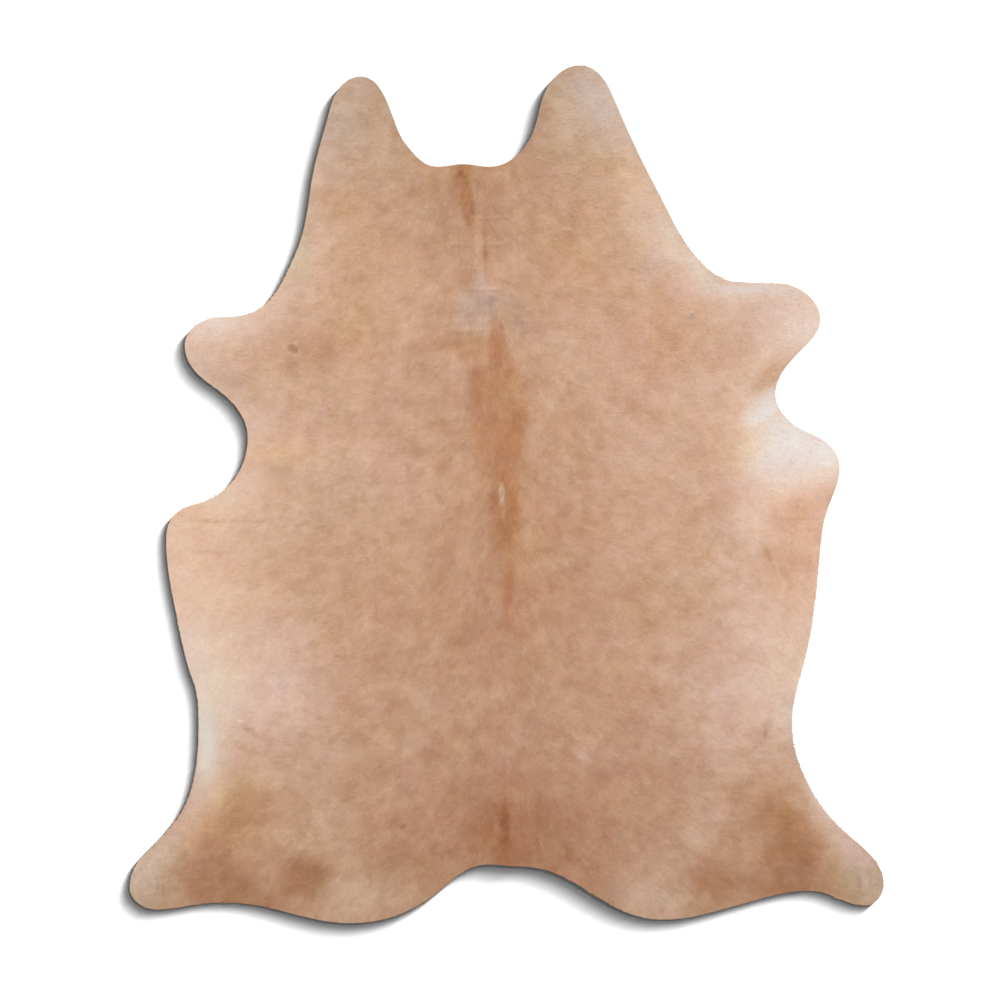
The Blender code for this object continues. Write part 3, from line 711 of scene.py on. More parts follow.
def thickness(x, y):
    """Skin and coat together: a bell across the back over the belly's thickness, a narrow bell along the
    spine, a bell across each wrinkle that fades past its ends, and broad sine waves."""
    off_spine = x - spine_at(y)
    height = BELLY_THICKNESS + (BACK_THICKNESS - BELLY_THICKNESS) * bell(off_spine / BACK_REACH)
    height = height + SPINE_RIDGE * np.exp(-0.5 * (off_spine / SPINE_HALF_WIDTH) ** 2)
    for wrinkle in WRINKLES:
        along, across = turned(x, y, (wrinkle.x * WIDTH / 2, wrinkle.y * LENGTH / 2), wrinkle.turn)
        fade = np.exp(-((along / wrinkle.half_length) ** 4))
        height = height + wrinkle.height * fade * np.exp(-0.5 * (across / wrinkle.half_width) ** 2)
    for swell in SWELLS:
        along, _ = turned(x, y, (0.0, 0.0), swell.turn)
        height = height + swell.height * np.sin(2 * math.pi * along / swell.wave + math.radians(swell.start))
    return height


def outline_line():
    """The outline as a closed line of points: a cubic Bezier curve from each landmark to the next, whose
    handles lie along the headings, stretched to exactly WIDTH by LENGTH."""
    place = np.array([(mark.x * WIDTH / 2, mark.y * LENGTH / 2) for mark in OUTLINE])
    heading = pointing(np.radians(column(OUTLINE, "heading")))
    end = np.roll(place, -1, axis=0)
    handle = HANDLE_SHARE * np.linalg.norm(end - place, axis=1)[:, None]
    first = place + heading * handle
    second = end - np.roll(heading, -1, axis=0) * handle
    t = (np.arange(OUTLINE_STEPS) / OUTLINE_STEPS)[None, :, None]
    line = (
        (1 - t) ** 3 * place[:, None]
        + 3 * t * (1 - t) ** 2 * first[:, None]
        + 3 * t**2 * (1 - t) * second[:, None]
        + t**3 * end[:, None]
    ).reshape(-1, 2)
    low = line.min(axis=0)
    high = line.max(axis=0)
    return (line - (low + high) / 2) * np.array((WIDTH, LENGTH)) / (high - low)


def nearest_on(line, x, y):
    """For each point: how far inside the line it lies, minus outside it, and the nearest place on the line.
    A point is inside where the way from it along +X crosses the line an odd number of times."""
    step = np.roll(line, -1, axis=0) - line
    square = (step**2).sum(axis=1)
    rise = np.where(step[:, 1] == 0.0, 1.0, step[:, 1])
    depth = np.empty(len(x))
    place = np.empty((len(x), 2))
    for part in np.array_split(np.arange(len(x)), len(x) // BATCH + 1):
        dx = x[part, None] - line[:, 0]
        dy = y[part, None] - line[:, 1]
        share = np.clip((dx * step[:, 0] + dy * step[:, 1]) / square, 0.0, 1.0)
        away = np.hypot(dx - share * step[:, 0], dy - share * step[:, 1])
        least = away.argmin(axis=1)
        row = np.arange(len(part))
        crossed = ((dy >= 0) != (dy - step[:, 1] >= 0)) & (dx < step[:, 0] * dy / rise)
        inside = crossed.sum(axis=1) % 2 == 1
        depth[part] = np.where(inside, 1.0, -1.0) * away[row, least]
        place[part] = line[least] + share[row, least][:, None] * step[least]
    return depth, place


@functools.lru_cache(maxsize=1)
def plan():
    """The outline's line, and how deep inside it each point of a square grid lies."""
    line = outline_line()
    count = int(2 * FIELD_REACH / PLAN_SPACING) + 1
    lines = np.linspace(-FIELD_REACH, FIELD_REACH, count)
    x, y = np.meshgrid(lines, lines, indexing="ij")
    depth, _ = nearest_on(line, x.ravel(), y.ravel())
    return line, depth.reshape(count, count)


def edge_depth(x, y):
    """How deep inside the outline each point lies, read between the plan's grid points."""
    _, depth = plan()
    last = len(depth) - 1
    u = np.clip((x + FIELD_REACH) / (2 * FIELD_REACH) * last, 0, last)
    v = np.clip((y + FIELD_REACH) / (2 * FIELD_REACH) * last, 0, last)
    return read_grid(depth, u, v)


def coat_heading(x, y):
    """The way the hair points, as unit vectors: backwards at the spine, turning outwards with the distance
    from it, drawn round by each stream within its reach, and wavering a little."""
    off_spine = x - spine_at(y)
    reach = np.interp(y, column(LIES, "y"), column(LIES, "spine_reach"))
    slope = np.radians(OUTWARD_SLOPE + (90 - OUTWARD_SLOPE) * np.exp(-np.abs(off_spine) / reach))
    ahead = np.stack((np.sign(off_spine) * np.cos(slope), -np.sin(slope)), axis=-1)
    for stream in STREAMS:
        near = np.exp(-(((x - stream.x) / stream.reach_x) ** 2) - ((y - stream.y) / stream.reach_y) ** 2)
        ahead = ahead + (stream.strength * near)[..., None] * pointing(np.radians(stream.heading))
    angle = np.arctan2(ahead[..., 1], ahead[..., 0])
    for row, waver in enumerate(HEADING_WAVERS):
        angle = angle + np.radians(waver.turn * soft_noise(x, y, waver.distance, HEADING_SEED + row))
    return pointing(angle)


def kept_share(level, least):
    """How much of their contrast patches and locks keep at each level of the coat."""
    return np.clip((FADED_LEVEL - level) / FADE_LEVELS, least, 1.0)


def coat_fields(x, y):
    """The coat's level, warm and pink at each point: the belts along the body, then the markings, then
    random patches and pale veins of painted sheen, which are fainter where the coat is paler."""
    back, flank, edge, reach, warm, pink = (
        np.interp(y, column(BELTS, "y"), values) for values in list(zip(*BELTS))[2:]
    )
    level = back + flank * (1 - bell((x - spine_at(y)) / FLANK_REACH))
    level = level + edge * bell(np.maximum(edge_depth(x, y), 0.0) / reach)
    moved = [x, y]
    for row, waver in enumerate(WAVERS):
        for axis in (0, 1):
            noise = soft_noise(x, y, waver.distance, WAVER_SEED + SEED_STEP * axis + row)
            moved[axis] = moved[axis] + waver.shift * noise
    for mark in MARKS:
        along, across = turned(*moved, (mark.x, mark.y), mark.turn)
        near = (along / mark.half_length) ** 2 + (across / mark.half_width) ** 2
        share = np.exp(-(near**mark.hard))
        level = level + mark.lift * share
        warm = warm + mark.warm * share
        pink = pink + mark.pink * share
    kept = kept_share(level, LEAST_PATCH)
    fields = [level, warm, pink]
    for row, patch in enumerate(PATCHES):
        for field, swing in enumerate((patch.level, patch.warm, patch.pink)):
            noise = soft_noise(x, y, patch.size, PATCH_SEED + SEED_STEP * field + row)
            fields[field] = fields[field] + kept * swing * noise
    # The pale veins are painted sheen: a net of light over the coat, with gaps.
    net = soft_noise(x, y, VEIN_SIZE, VEIN_SEED)
    net = net + VEIN_ROUGHNESS * soft_noise(x, y, VEIN_ROUGHNESS_SIZE, VEIN_SEED + 1)
    gaps = smooth_step(0.5 + VEIN_GAP_SWING * soft_noise(x, y, VEIN_GAP_SIZE, VEIN_SEED + 2))
    fields[0] = fields[0] + kept * SHEEN_VEIN_LEVEL * gaps * bell(net / VEIN_HALF_WIDTH)
    return fields


def coat_colour(level, warm, pink):
    """Linear colour of the coat: the tone of that level, moved towards ochre by warm and towards pink by
    pink with its level kept, then turned from display values to light by the sRGB curve."""
    levels = column(TONES, "level")
    channels = zip(("red", "green", "blue"), WARM_SHIFT, PINK_SHIFT)
    shown = [
        np.interp(level, levels, column(TONES, name)) + to_ochre * warm + to_pink * pink
        for name, to_ochre, to_pink in channels
    ]
    shown = np.clip(np.stack(shown, axis=-1) / 255, 0.0, 1.0)
    return np.where(shown <= 0.04045, shown / 12.92, ((shown + 0.055) / 1.055) ** 2.4)


def piece_collection():
    """The collection that holds the dressed hide, made the first time."""
    found = bpy.data.collections.get("cowhide")
    if found is None:
        found = bpy.data.collections.new("cowhide")
        bpy.context.scene.collection.children.link(found)
    return found


def put_piece(name, points, faces, materials):
    """A new piece on the hide's one body: a mesh from arrays of points and faces, at the origin, with its
    materials and its finish."""
    mesh = bpy.data.meshes.new(name)
    mesh.from_pydata(points.reshape(-1, 3).tolist(), [], faces.tolist())
    for material in materials:
        mesh.materials.append(material)
    mesh.shade_smooth()
    piece = bpy.data.objects.new(name, mesh)
    piece_collection().objects.link(piece)
    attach(piece, "root")
    return piece


def add_map(mesh, name, places):
    """A UV map that gives each point of the mesh one place."""
    corners = np.empty(len(mesh.loops), dtype=np.int64)
    mesh.loops.foreach_get("vertex_index", corners)
    layer = mesh.uv_layers.new(name=name)
    layer.uv.foreach_set("vector", places.reshape(-1, 2)[corners].astype(np.float32).ravel())


def add_colours(mesh, colours):
    """The coat's colour at each point of the mesh."""
    layer = mesh.color_attributes.new("coat_colour", "FLOAT_COLOR", "POINT")
    filled = np.concatenate((colours.reshape(-1, 3), np.ones((colours.size // 3, 1))), axis=1)
    layer.data.foreach_set("color", filled.astype(np.float32).ravel())


def new_material(name, **inputs):
    """A new material whose shader has these inputs, and its tree of nodes. _ stands for a space."""
    material = bpy.data.materials.new(name)
    material.use_nodes = True
    shader = material.node_tree.nodes["Principled BSDF"]
    for key, value in inputs.items():
        shader.inputs[key.replace("_", " ")].default_value = value
    return material, material.node_tree


def add_node(tree, kind, inputs, outlet=0, **settings):
    """A shader node of a kind, with its settings. Each input is fed by another node's outlet or set to a
    value. The node stands to the right of what feeds it. Returns the outlet asked for."""
    node = tree.nodes.new("ShaderNode" + kind)
    for key, value in settings.items():
        setattr(node, key, value)
    left = TREE_LEFT
    for key, value in inputs.items():
        if isinstance(value, bpy.types.NodeSocket):
            tree.links.new(value, node.inputs[key])
            left = max(left, value.node.location.x)
        else:
            node.inputs[key].default_value = value
    node.location = (left + NODE_STEP, -NODE_DROP * len(tree.nodes))
    return node.outputs[outlet]


def add_noise(tree, place, scale, detail, roughness=0.5, outlet="Fac"):
    """Soft noise in the space of place."""
    inputs = {"Vector": place, "Scale": scale, "Detail": detail, "Roughness": roughness}
    return add_node(tree, "TexNoise", inputs, outlet)


def add_range(tree, outlet, low, high, start, end, **settings):
    """Goes from start to end as the outlet goes from low to high."""
    inputs = {"Value": outlet, "From Min": low, "From Max": high, "To Min": start, "To Max": end}
    return add_node(tree, "MapRange", inputs, "Result", **settings)


def add_maths(tree, operation, *terms):
    """The sum, product or other operation on vectors, each an outlet or a value."""
    return add_node(tree, "VectorMath", dict(enumerate(terms)), "Vector", operation=operation)


def add_ramp(tree, outlet, stops):
    """The colours of the stops, blended by the outlet's height."""
    ramp = add_node(tree, "ValToRGB", {"Fac": outlet}, "Color")
    elements = ramp.node.color_ramp.elements
    while len(elements) < len(stops):
        elements.new(0.5)
    for element, (height, colour) in zip(elements, stops):
        element.position = height
        element.color = (*colour, 1.0)
    return ramp


def lines_share(tree, place):
    """The lines' and specks' share of each colour's light, as a vector: 1 and the sum of their changes. Fold
    and crease lines among them paint the wrinkles' shade and light.
    is 1 less the distance from its middle in half sizes, which a firm one takes up smoothly to its core.
    One noise bends them all, and another leaves them fainter in places."""
    bend = add_noise(tree, place, 1.0 / LINE_WANDER_SIZE, detail=2.0, outlet="Color")
    bend = add_maths(tree, "SUBTRACT", bend, (0.5, 0.5, 0.5))
    bent = add_maths(tree, "MULTIPLY_ADD", bend, (LINE_WANDER, LINE_WANDER, 0.0), place)
    total = (0.0, 0.0, 0.0)
    for line in LINES:
        own = {
            "Vector": bent,
            "Location": (line.x, line.y, 0.0),
            "Rotation": (0.0, 0.0, math.radians(line.turn)),
            "Scale": (line.half_length, line.half_width, LINE_HALF_HEIGHT),
        }
        own = add_node(tree, "Mapping", own, vector_type="TEXTURE")
        near = add_node(tree, "TexGradient", {"Vector": own}, "Fac", gradient_type="SPHERICAL")
        if line.core < 1:
            near = add_range(tree, near, 0.0, line.core, 0.0, 1.0, interpolation_type="SMOOTHSTEP")
        change = [-line.shade * (1 + side * line.blue) for side in (-1, 0, 1)]
        total = add_maths(tree, "MULTIPLY_ADD", near, change, total)
    patches = add_noise(tree, place, LINE_PATCH_FINENESS / LINE_WANDER_SIZE, detail=2.0)
    kept = add_range(tree, patches, LINE_PATCH_LOW, LINE_PATCH_HIGH, LINE_FAINTEST, LINE_STRONGEST)
    return add_maths(tree, "MULTIPLY_ADD", total, kept, (1.0, 1.0, 1.0))


def crackle_share(tree, place, lightness):
    """The crackle's share of each colour's light, as a vector: blotches of tone, each with a rim of painted
    sheen.
    """
    noise = add_noise(tree, place, 1.0 / CRACKLE_SIZE, detail=3.0, roughness=0.55)
    kept = add_range(tree, lightness, CRACKLE_DARK, CRACKLE_PALE, 1.0, CRACKLE_LEAST)
    change = add_maths(tree, "SUBTRACT", add_ramp(tree, noise, CRACKLE), (1.0, 1.0, 1.0))
    return add_maths(tree, "MULTIPLY_ADD", change, kept, (1.0, 1.0, 1.0))


def noise_share(tree, noise, contrast):
    """A noise's height as a share of light, from 1 - contrast to 1 + contrast."""
    return add_range(tree, noise, NOISE_LOW, NOISE_HIGH, 1.0 - contrast, 1.0 + contrast)


def finish_shader(tree, colour, grain, dull, strength, height):
    """Gives the shader its colour, and a roughness and a bump that follow the grain."""
    roughness = add_range(tree, grain, 0.0, 1.0, *dull)
    normal = add_node(tree, "Bump", {"Height": grain, "Strength": strength, "Distance": height}, "Normal")
    shader = tree.nodes["Principled BSDF"]
    for key, outlet in (("Base Color", colour), ("Roughness", roughness), ("Normal", normal)):
        tree.links.new(outlet, shader.inputs[key])


def hair_material(name, settings, locks):
    """Short dull hair. Its colour is the coat's, with its painted sheen and shade, changed by soft tufts,
    fibres, the thin lines, whose folds and creases are painted shade and light, and the crackle, whose rim is
    painted sheen. Fine fibres, drawn along each lock, also change its roughness and bump. The hair between
    the locks has them as fine spots."""
    material, tree = new_material(
        name, Specular_IOR_Level=settings.gloss, Sheen_Weight=settings.sheen, Sheen_Roughness=0.5,
        Sheen_Tint=HAIR_SHEEN_TINT,
    )
    place = add_node(tree, "TexCoord", {}, "Object")
    colour = add_node(tree, "Attribute", {}, "Color", attribute_name="coat_colour")
    if locks:
        along_lock = add_node(tree, "UVMap", {}, "UV", uv_map="lock")
        grain = add_node(tree, "Mapping", {"Vector": along_lock, "Scale": LOCK_FIBRES})
    else:
        grain = add_node(tree, "Mapping", {"Vector": place, "Scale": BED_FIBRES})
    fibres = add_noise(tree, grain, 1.0, detail=2.0, roughness=0.6)
    tufts = add_noise(tree, place, 1.0 / settings.tuft_size, detail=2.0, roughness=0.55)
    shares = (
        noise_share(tree, tufts, settings.tuft_contrast),
        noise_share(tree, fibres, settings.fibre_contrast),
        lines_share(tree, place),
        crackle_share(tree, place, colour.node.outputs["Fac"]),
    )
    for share in shares:
        colour = add_maths(tree, "MULTIPLY", colour, share)
    dull = (settings.roughness - HAIR_ROUGHNESS_SWING, settings.roughness + HAIR_ROUGHNESS_SWING)
    finish_shader(tree, colour, fibres, dull, strength=0.35, height=HAIR_BUMP)
    return material


def flesh_material(settings):
    """The flesh side and the cut edge: pale suede with cloudy patches, a fine nap and faint veins."""
    material, tree = new_material(
        "flesh_side_suede", Specular_IOR_Level=0.2, Sheen_Weight=0.2, Sheen_Roughness=0.6
    )
    place = add_node(tree, "TexCoord", {}, "Object")
    nap = add_noise(tree, place, FLESH_NAP, detail=3.0, roughness=0.7)
    dark = [FLESH_CLOUD_SHADE * part for part in settings.flesh_colour]
    clouds = add_noise(tree, place, FLESH_CLOUDS, detail=5.0, roughness=0.6)
    stops = ((FLESH_CLOUD_LOW, dark), (FLESH_CLOUD_HIGH, settings.flesh_colour))
    veins = {"Vector": place, "Scale": FLESH_VEINS}
    veins = add_node(tree, "TexVoronoi", veins, "Distance", feature="DISTANCE_TO_EDGE")
    veins = add_range(tree, veins, 0.0, FLESH_VEIN_WIDTH, FLESH_VEIN_SHADE, 1.0)
    colour = add_maths(tree, "MULTIPLY", add_ramp(tree, clouds, stops), veins)
    finish_shader(tree, colour, nap, FLESH_ROUGHNESS, strength=0.5, height=FLESH_BUMP)
    return material


def skin_shape(settings):
    """The skin as a closed sheet. Its top is the height of skin and coat less the coat's depth, on the cells
    of a square grid that lie inside the outline. Points on the cells' rim move to the outline. A wall of
    two rings joins them to the same grid at z = 0. Returns points, faces, and how many faces are top and
    how many points are the underside's."""
    line, _ = plan()
    across, along = (
        np.linspace(-size / 2, size / 2, round(size / settings.cell) + 1) for size in (WIDTH, LENGTH)
    )
    middles = ((lines[1:] + lines[:-1]) / 2 for lines in (across, along))
    i, j = np.nonzero(edge_depth(*np.meshgrid(*middles, indexing="ij")) > 0)
    rows = len(along)
    cells = (i * rows + j)[:, None] + np.array((0, rows, rows + 1, 1))
    used, cells = np.unique(cells, return_inverse=True)
    cells = cells.reshape(-1, 4)
    flat = np.stack((across[used // rows], along[used % rows]), axis=1)

    starts = cells.ravel()
    ends = np.roll(cells, -1, axis=1).ravel()
    count = len(used)
    rim_edges = ~np.isin(starts * count + ends, ends * count + starts)
    starts = starts[rim_edges]
    ends = ends[rim_edges]
    rim, starts_in_rim = np.unique(starts, return_inverse=True)
    ends_in_rim = np.searchsorted(rim, ends)
    _, place = nearest_on(line, *flat[rim].T)
    before = np.empty(len(rim), dtype=int)
    after = np.empty(len(rim), dtype=int)
    after[starts_in_rim] = ends_in_rim
    before[ends_in_rim] = starts_in_rim
    inward = -unit(to_the_right(place[after] - place[before]))

    top = flat.copy()
    top[rim] = place + inward * settings.edge_round
    height = thickness(*top.T) - settings.coat_depth
    wall = height[rim]
    height[rim] = wall - WALL_SINK * settings.edge_round
    under = flat.copy()
    under[rim] = place + inward * settings.edge_round / 2
    points = np.concatenate(
        (
            np.column_stack((top, height)),
            np.column_stack((place, wall / 2)),
            np.column_stack((under, np.zeros(count))),
        )
    )
    below = count + len(rim)
    upper = np.stack((ends, starts, count + starts_in_rim, count + ends_in_rim), axis=1)
    lower = np.stack((count + ends_in_rim, count + starts_in_rim, below + starts, below + ends), axis=1)
    faces = np.concatenate((cells, upper, lower, below + cells[:, ::-1]))
    return points, faces, len(cells), count


def skin_map(points, under):
    """Places on the skin's map: each point's share of the hide's box with its margin, in the left half, and
    for the last points, which are the underside's, in the right half."""
    size = np.array((WIDTH, LENGTH))
    places = (points[:, :2] + size / 2 + MAP_MARGIN) / (size + 2 * MAP_MARGIN) * MAP_SCALE + MAP_START
    places[-under:, 0] += MAP_UNDERSIDE
    return places


def make_skin(settings, coat):
    """The skin piece: hair bed on top, flesh side beneath."""
    points, faces, top_faces, under = skin_shape(settings)
    materials = (hair_material("hair_bed", coat, False), flesh_material(settings))
    skin = put_piece("hide_skin", points, faces, materials)
    finish = np.ones(len(faces), dtype=np.int32)
    finish[:top_faces] = 0
    skin.data.polygons.foreach_set("material_index", finish)
    level, warm, pink = coat_fields(points[:, 0], points[:, 1])
    # The hair bed between the locks is darker by the roots' painted shade.
    add_colours(skin.data, coat_colour(level - coat.root_shade, warm, pink))
    add_map(skin.data, "OFBake", skin_map(points, under))
    skin.data.set_sharp_from_angle(angle=math.radians(SHARP_ANGLE))
    return skin


def lock_points(kind, root, ahead, length, width, bend, lift, coat_depth, drop):
    """Points of many locks, as an array of locks by five points by three. Each point lies along and across
    the lock's heading by LOCK_ALONG and LOCK_ACROSS, and the tip also swings aside by bend. Its height is
    the skin's top plus a share of the coat's depth. Past the cut edge the lock hangs down over it by drop."""
    swing = bend[:, None] * LOCK_ALONG**2
    flat = (
        root[:, None]
        + ahead[:, None] * (length[:, None] * LOCK_ALONG)[..., None]
        + to_the_right(ahead)[:, None] * (width[:, None] * LOCK_ACROSS + swing)[..., None]
    )
    x = flat[..., 0]
    y = flat[..., 1]
    steady, lifted = np.transpose(kind.heights)
    rise = coat_depth * (steady + lifted * lift[:, None])
    rise[:, 0] = -kind.sink
    height = thickness(x, y) - coat_depth + rise - drop * smooth_step(0.5 - edge_depth(x, y) / HANG_REACH)
    return np.concatenate((flat, np.maximum(height, kind.sink)[..., None]), axis=2)


def put_locks(name, points, ahead, colours, tilt, material, rng):
    """One piece of many locks, with their colours, the map on which every lock has a small square of its
    own, a map for each lock's fibres, and shading normals. These point up, leaning aside at a lock's sides
    and ahead at its tip."""
    count = len(points)
    faces = np.arange(count)[:, None, None] * len(LOCK_ALONG) + np.array(LOCK_FACES)
    piece = put_piece(name, points, faces.reshape(-1, 3), (material,))
    add_colours(piece.data, colours)
    columns = math.ceil(math.sqrt(count))
    row, place = np.divmod(np.arange(count), columns)
    corner = np.stack((place, row), axis=1)[:, None]
    add_map(piece.data, "OFBake", (corner + LOCK_MAP_INSET + LOCK_MAP * (1 - 2 * LOCK_MAP_INSET)) / columns)
    add_map(piece.data, "lock", rng.uniform(0.0, FIBRE_MAP_SIZE, (count, 2))[:, None] + LOCK_MAP)
    aside, forward = tilt * LOCK_LEANS[..., None]
    lean = to_the_right(ahead)[:, None] * aside + ahead[:, None] * forward
    normals = unit(np.concatenate((lean, np.ones((count, len(LOCK_ALONG), 1))), axis=2))
    piece.data.normals_split_custom_set_from_vertices(normals.reshape(-1, 3).tolist())


def lock_lights(kind, coat):
    """How much lighter each point of a lock is than the coat there, in levels: painted shade at its root and
    painted light on its crown and tip.
    """
    return np.array((-coat.root_shade, 0.0, 0.0, kind.crown_light, coat.tip_light))


def even_places(spacing, rng):
    """One random place in each square of a grid over the hide's box."""
    across = np.arange(-WIDTH / 2, WIDTH / 2, spacing)
    along = np.arange(-LENGTH / 2, LENGTH / 2, spacing)
    x, y = np.meshgrid(across, along, indexing="ij")
    x = x.ravel() + rng.uniform(0, spacing, x.size)
    y = y.ravel() + rng.uniform(0, spacing, y.size)
    return np.stack((x, y), axis=1)


def lay_layer(name, coat, skin, material, seed):
    """One layer of locks over the whole hide: one lock in each square of a fine grid, lying along the
    coat's heading. A lock whose tip would pass the outline by more than the overhang is shortened."""
    rng = np.random.default_rng(seed)
    root = even_places(coat.spacing, rng)
    depth = edge_depth(*root.T)
    inside = depth > coat.edge_margin
    root = root[inside]
    depth = depth[inside]
    count = len(root)
    aim = coat_heading(*root.T)
    turn = np.radians(rng.normal(0.0, coat.stray, (count, 1)))
    ahead = aim * np.cos(turn) - to_the_right(aim) * np.sin(turn)
    length = coat.length * rng.uniform(*COAT_LOCK.lengths, count)
    width = coat.width * rng.uniform(*COAT_LOCK.widths, count)
    bend = length * rng.normal(0.0, COAT_LOCK.bend, count)
    tip_depth = edge_depth(*(root + ahead * length[:, None]).T)
    over = tip_depth < -coat.overhang
    length[over] *= (depth[over] + coat.overhang) / (depth[over] - tip_depth[over])
    lift = rng.uniform(*COAT_LOCK.lifts, count)
    points = lock_points(COAT_LOCK, root, ahead, length, width, bend, lift, skin.coat_depth, coat.edge_drop)
    level, warm, pink = coat_fields(points[..., 0], points[..., 1])
    own = rng.normal(0.0, coat.lock_contrast, (count, 1))
    draw = rng.uniform(0.0, 1.0, (count, 1))
    own += coat.tick_contrast * ((draw > 1.0 - coat.ticks).astype(float) - (draw < coat.ticks))
    level = level + kept_share(level, LEAST_LOCK) * (own + lock_lights(COAT_LOCK, coat))
    warm = warm + rng.normal(0.0, LOCK_WARM, (count, 1))
    pink = pink + rng.normal(0.0, LOCK_PINK, (count, 1))
    put_locks(name, points, ahead, coat_colour(level, warm, pink), coat.normal_tilt, material, rng)


def make_fringe(edge, coat, skin, material):
    """Fine hair along the cut edge: short locks rooted just inside the outline, pointing between the
    coat's heading and straight out, which lean over the edge and hide it."""
    rng = np.random.default_rng(edge.seed)
    line, _ = plan()
    step = np.roll(line, -1, axis=0) - line
    run = np.linalg.norm(step, axis=1)
    travelled = np.concatenate(([0.0], np.cumsum(run)))
    count = edge.count
    place = (np.arange(count) + rng.uniform(0.0, 1.0, count)) * travelled[-1] / count
    index = np.clip(np.searchsorted(travelled, place, side="right") - 1, 0, len(line) - 1)
    share = (place - travelled[index]) / run[index]
    outward = to_the_right(step[index]) / run[index][:, None]
    inset = rng.uniform(EDGE_LEAST_INSET, edge.inset, count)
    root = line[index] + share[:, None] * step[index] - outward * inset[:, None]
    ahead = unit(coat_heading(*root.T) * rng.uniform(*EDGE_FOLLOWS, (count, 1)) + outward)
    length = edge.length * rng.uniform(*EDGE_LOCK.lengths, count)
    going_out = np.maximum((ahead * outward).sum(axis=1), EDGE_LEAST_OUT)
    length = np.minimum(length, (inset + edge.overhang * rng.uniform(*EDGE_OVERHANGS, count)) / going_out)
    width = edge.width * rng.uniform(*EDGE_LOCK.widths, count)
    bend = length * rng.normal(0.0, EDGE_LOCK.bend, count)
    lift = rng.uniform(*EDGE_LOCK.lifts, count)
    points = lock_points(EDGE_LOCK, root, ahead, length, width, bend, lift, skin.coat_depth, edge.drop)
    level, warm, pink = coat_fields(points[..., 0], points[..., 1])
    level = level + rng.normal(0.0, coat.lock_contrast, (count, 1)) + edge.lightness
    colours = coat_colour(level + lock_lights(EDGE_LOCK, coat), warm, pink)
    put_locks("edge_hair", points, ahead, colours, coat.normal_tilt, material, rng)


def make_floor(settings):
    """A wide flat floor under the rug. Returns the collection that holds it."""
    half = settings.floor_half_size
    corners = [(x, y, -FLOOR_DROP) for x, y in ((-half, -half), (half, -half), (half, half), (-half, half))]
    mesh = bpy.data.meshes.new("studio_floor")
    mesh.from_pydata(corners, [], [(0, 1, 2, 3)])
    grey = (*[settings.floor_shade] * 3, 1.0)
    material, _ = new_material("studio_floor_paper", Base_Color=grey, Roughness=1.0, Specular_IOR_Level=0.0)
    mesh.materials.append(material)
    floor = bpy.data.objects.new("studio_floor", mesh)
    stage = bpy.data.collections.new("stage")
    bpy.context.scene.collection.children.link(stage)
    stage.objects.link(floor)
    return stage


def add_sun(name, azimuth, elevation, spread, light, lit):
    """A sun that shines from azimuth degrees round from +X and elevation above the floor, only on lit. It
    gives level ground this much light, for which it is stronger the lower it stands."""
    data = bpy.data.lights.new(name, "SUN")
    data.energy = light * math.pi / math.sin(math.radians(elevation))
    data.angle = math.radians(spread)
    sun = bpy.data.objects.new(name, data)
    bpy.context.scene.collection.objects.link(sun)
    sun.rotation_euler = (0.0, math.radians(90 - elevation), math.radians(azimuth))
    sun.location = (0.0, 0.0, SUN_HEIGHT)
    sun.light_linking.receiver_collection = lit


def set_sky(scene, strength):
    """Even white light from all round, and colours shown without a film look."""
    world = bpy.data.worlds.new("studio_sky")
    world.use_nodes = True
    sky = world.node_tree.nodes["Background"]
    sky.inputs["Color"].default_value = (1.0, 1.0, 1.0, 1.0)
    sky.inputs["Strength"].default_value = strength
    scene.world = world
    scene.view_settings.view_transform = "Standard"


def set_camera(settings):
    """A camera straight above the rug, which sees view_width metres across the height of its coat."""
    data = bpy.data.cameras.new("camera")
    data.lens = settings.lens
    camera = bpy.data.objects.new("camera", data)
    bpy.context.scene.collection.objects.link(camera)
    height = settings.view_width * settings.lens / data.sensor_width
    camera.location = (settings.view_x, settings.view_y, height + COAT_HEIGHT)
    data.clip_start = 0.1
    data.clip_end = 100.0
    bpy.context.scene.camera = camera


def metres(name, description, default, low=-100.0, high=100.0):
    """A length that a user may change, and its least and greatest value."""
    return FloatProperty(
        name=name, description=description, default=default, min=low, max=high, unit="LENGTH", precision=4
    )


def number(name, description, default, low=0.0, high=1.0):
    """A number that a user may change, and its least and greatest value."""
    return FloatProperty(name=name, description=description, default=default, min=low, max=high)


def whole(name, description, default, low=0, high=100000):
    """A whole number that a user may change, and its least and greatest value."""
    return IntProperty(name=name, description=description, default=default, min=low, max=high)


class SkinSettings(bpy.types.PropertyGroup):
    """Sizes and colour of the skin."""

    coat_depth: metres("Coat depth", "Height of the lying coat over the skin", 0.0012, 0.0005, 0.003)
    cell: metres("Cell", "Size of the squares of the skin's mesh", 0.009, 0.008, 0.05)
    edge_round: metres("Edge rounding", "How far the cut edge draws in at its top", 0.0008, 0.0, 0.002)
    flesh_colour: FloatVectorProperty(
        name="Flesh side", description="Colour of the underside", subtype="COLOR", size=3,
        default=(0.70, 0.58, 0.45), min=0.0, max=1.0,
    )


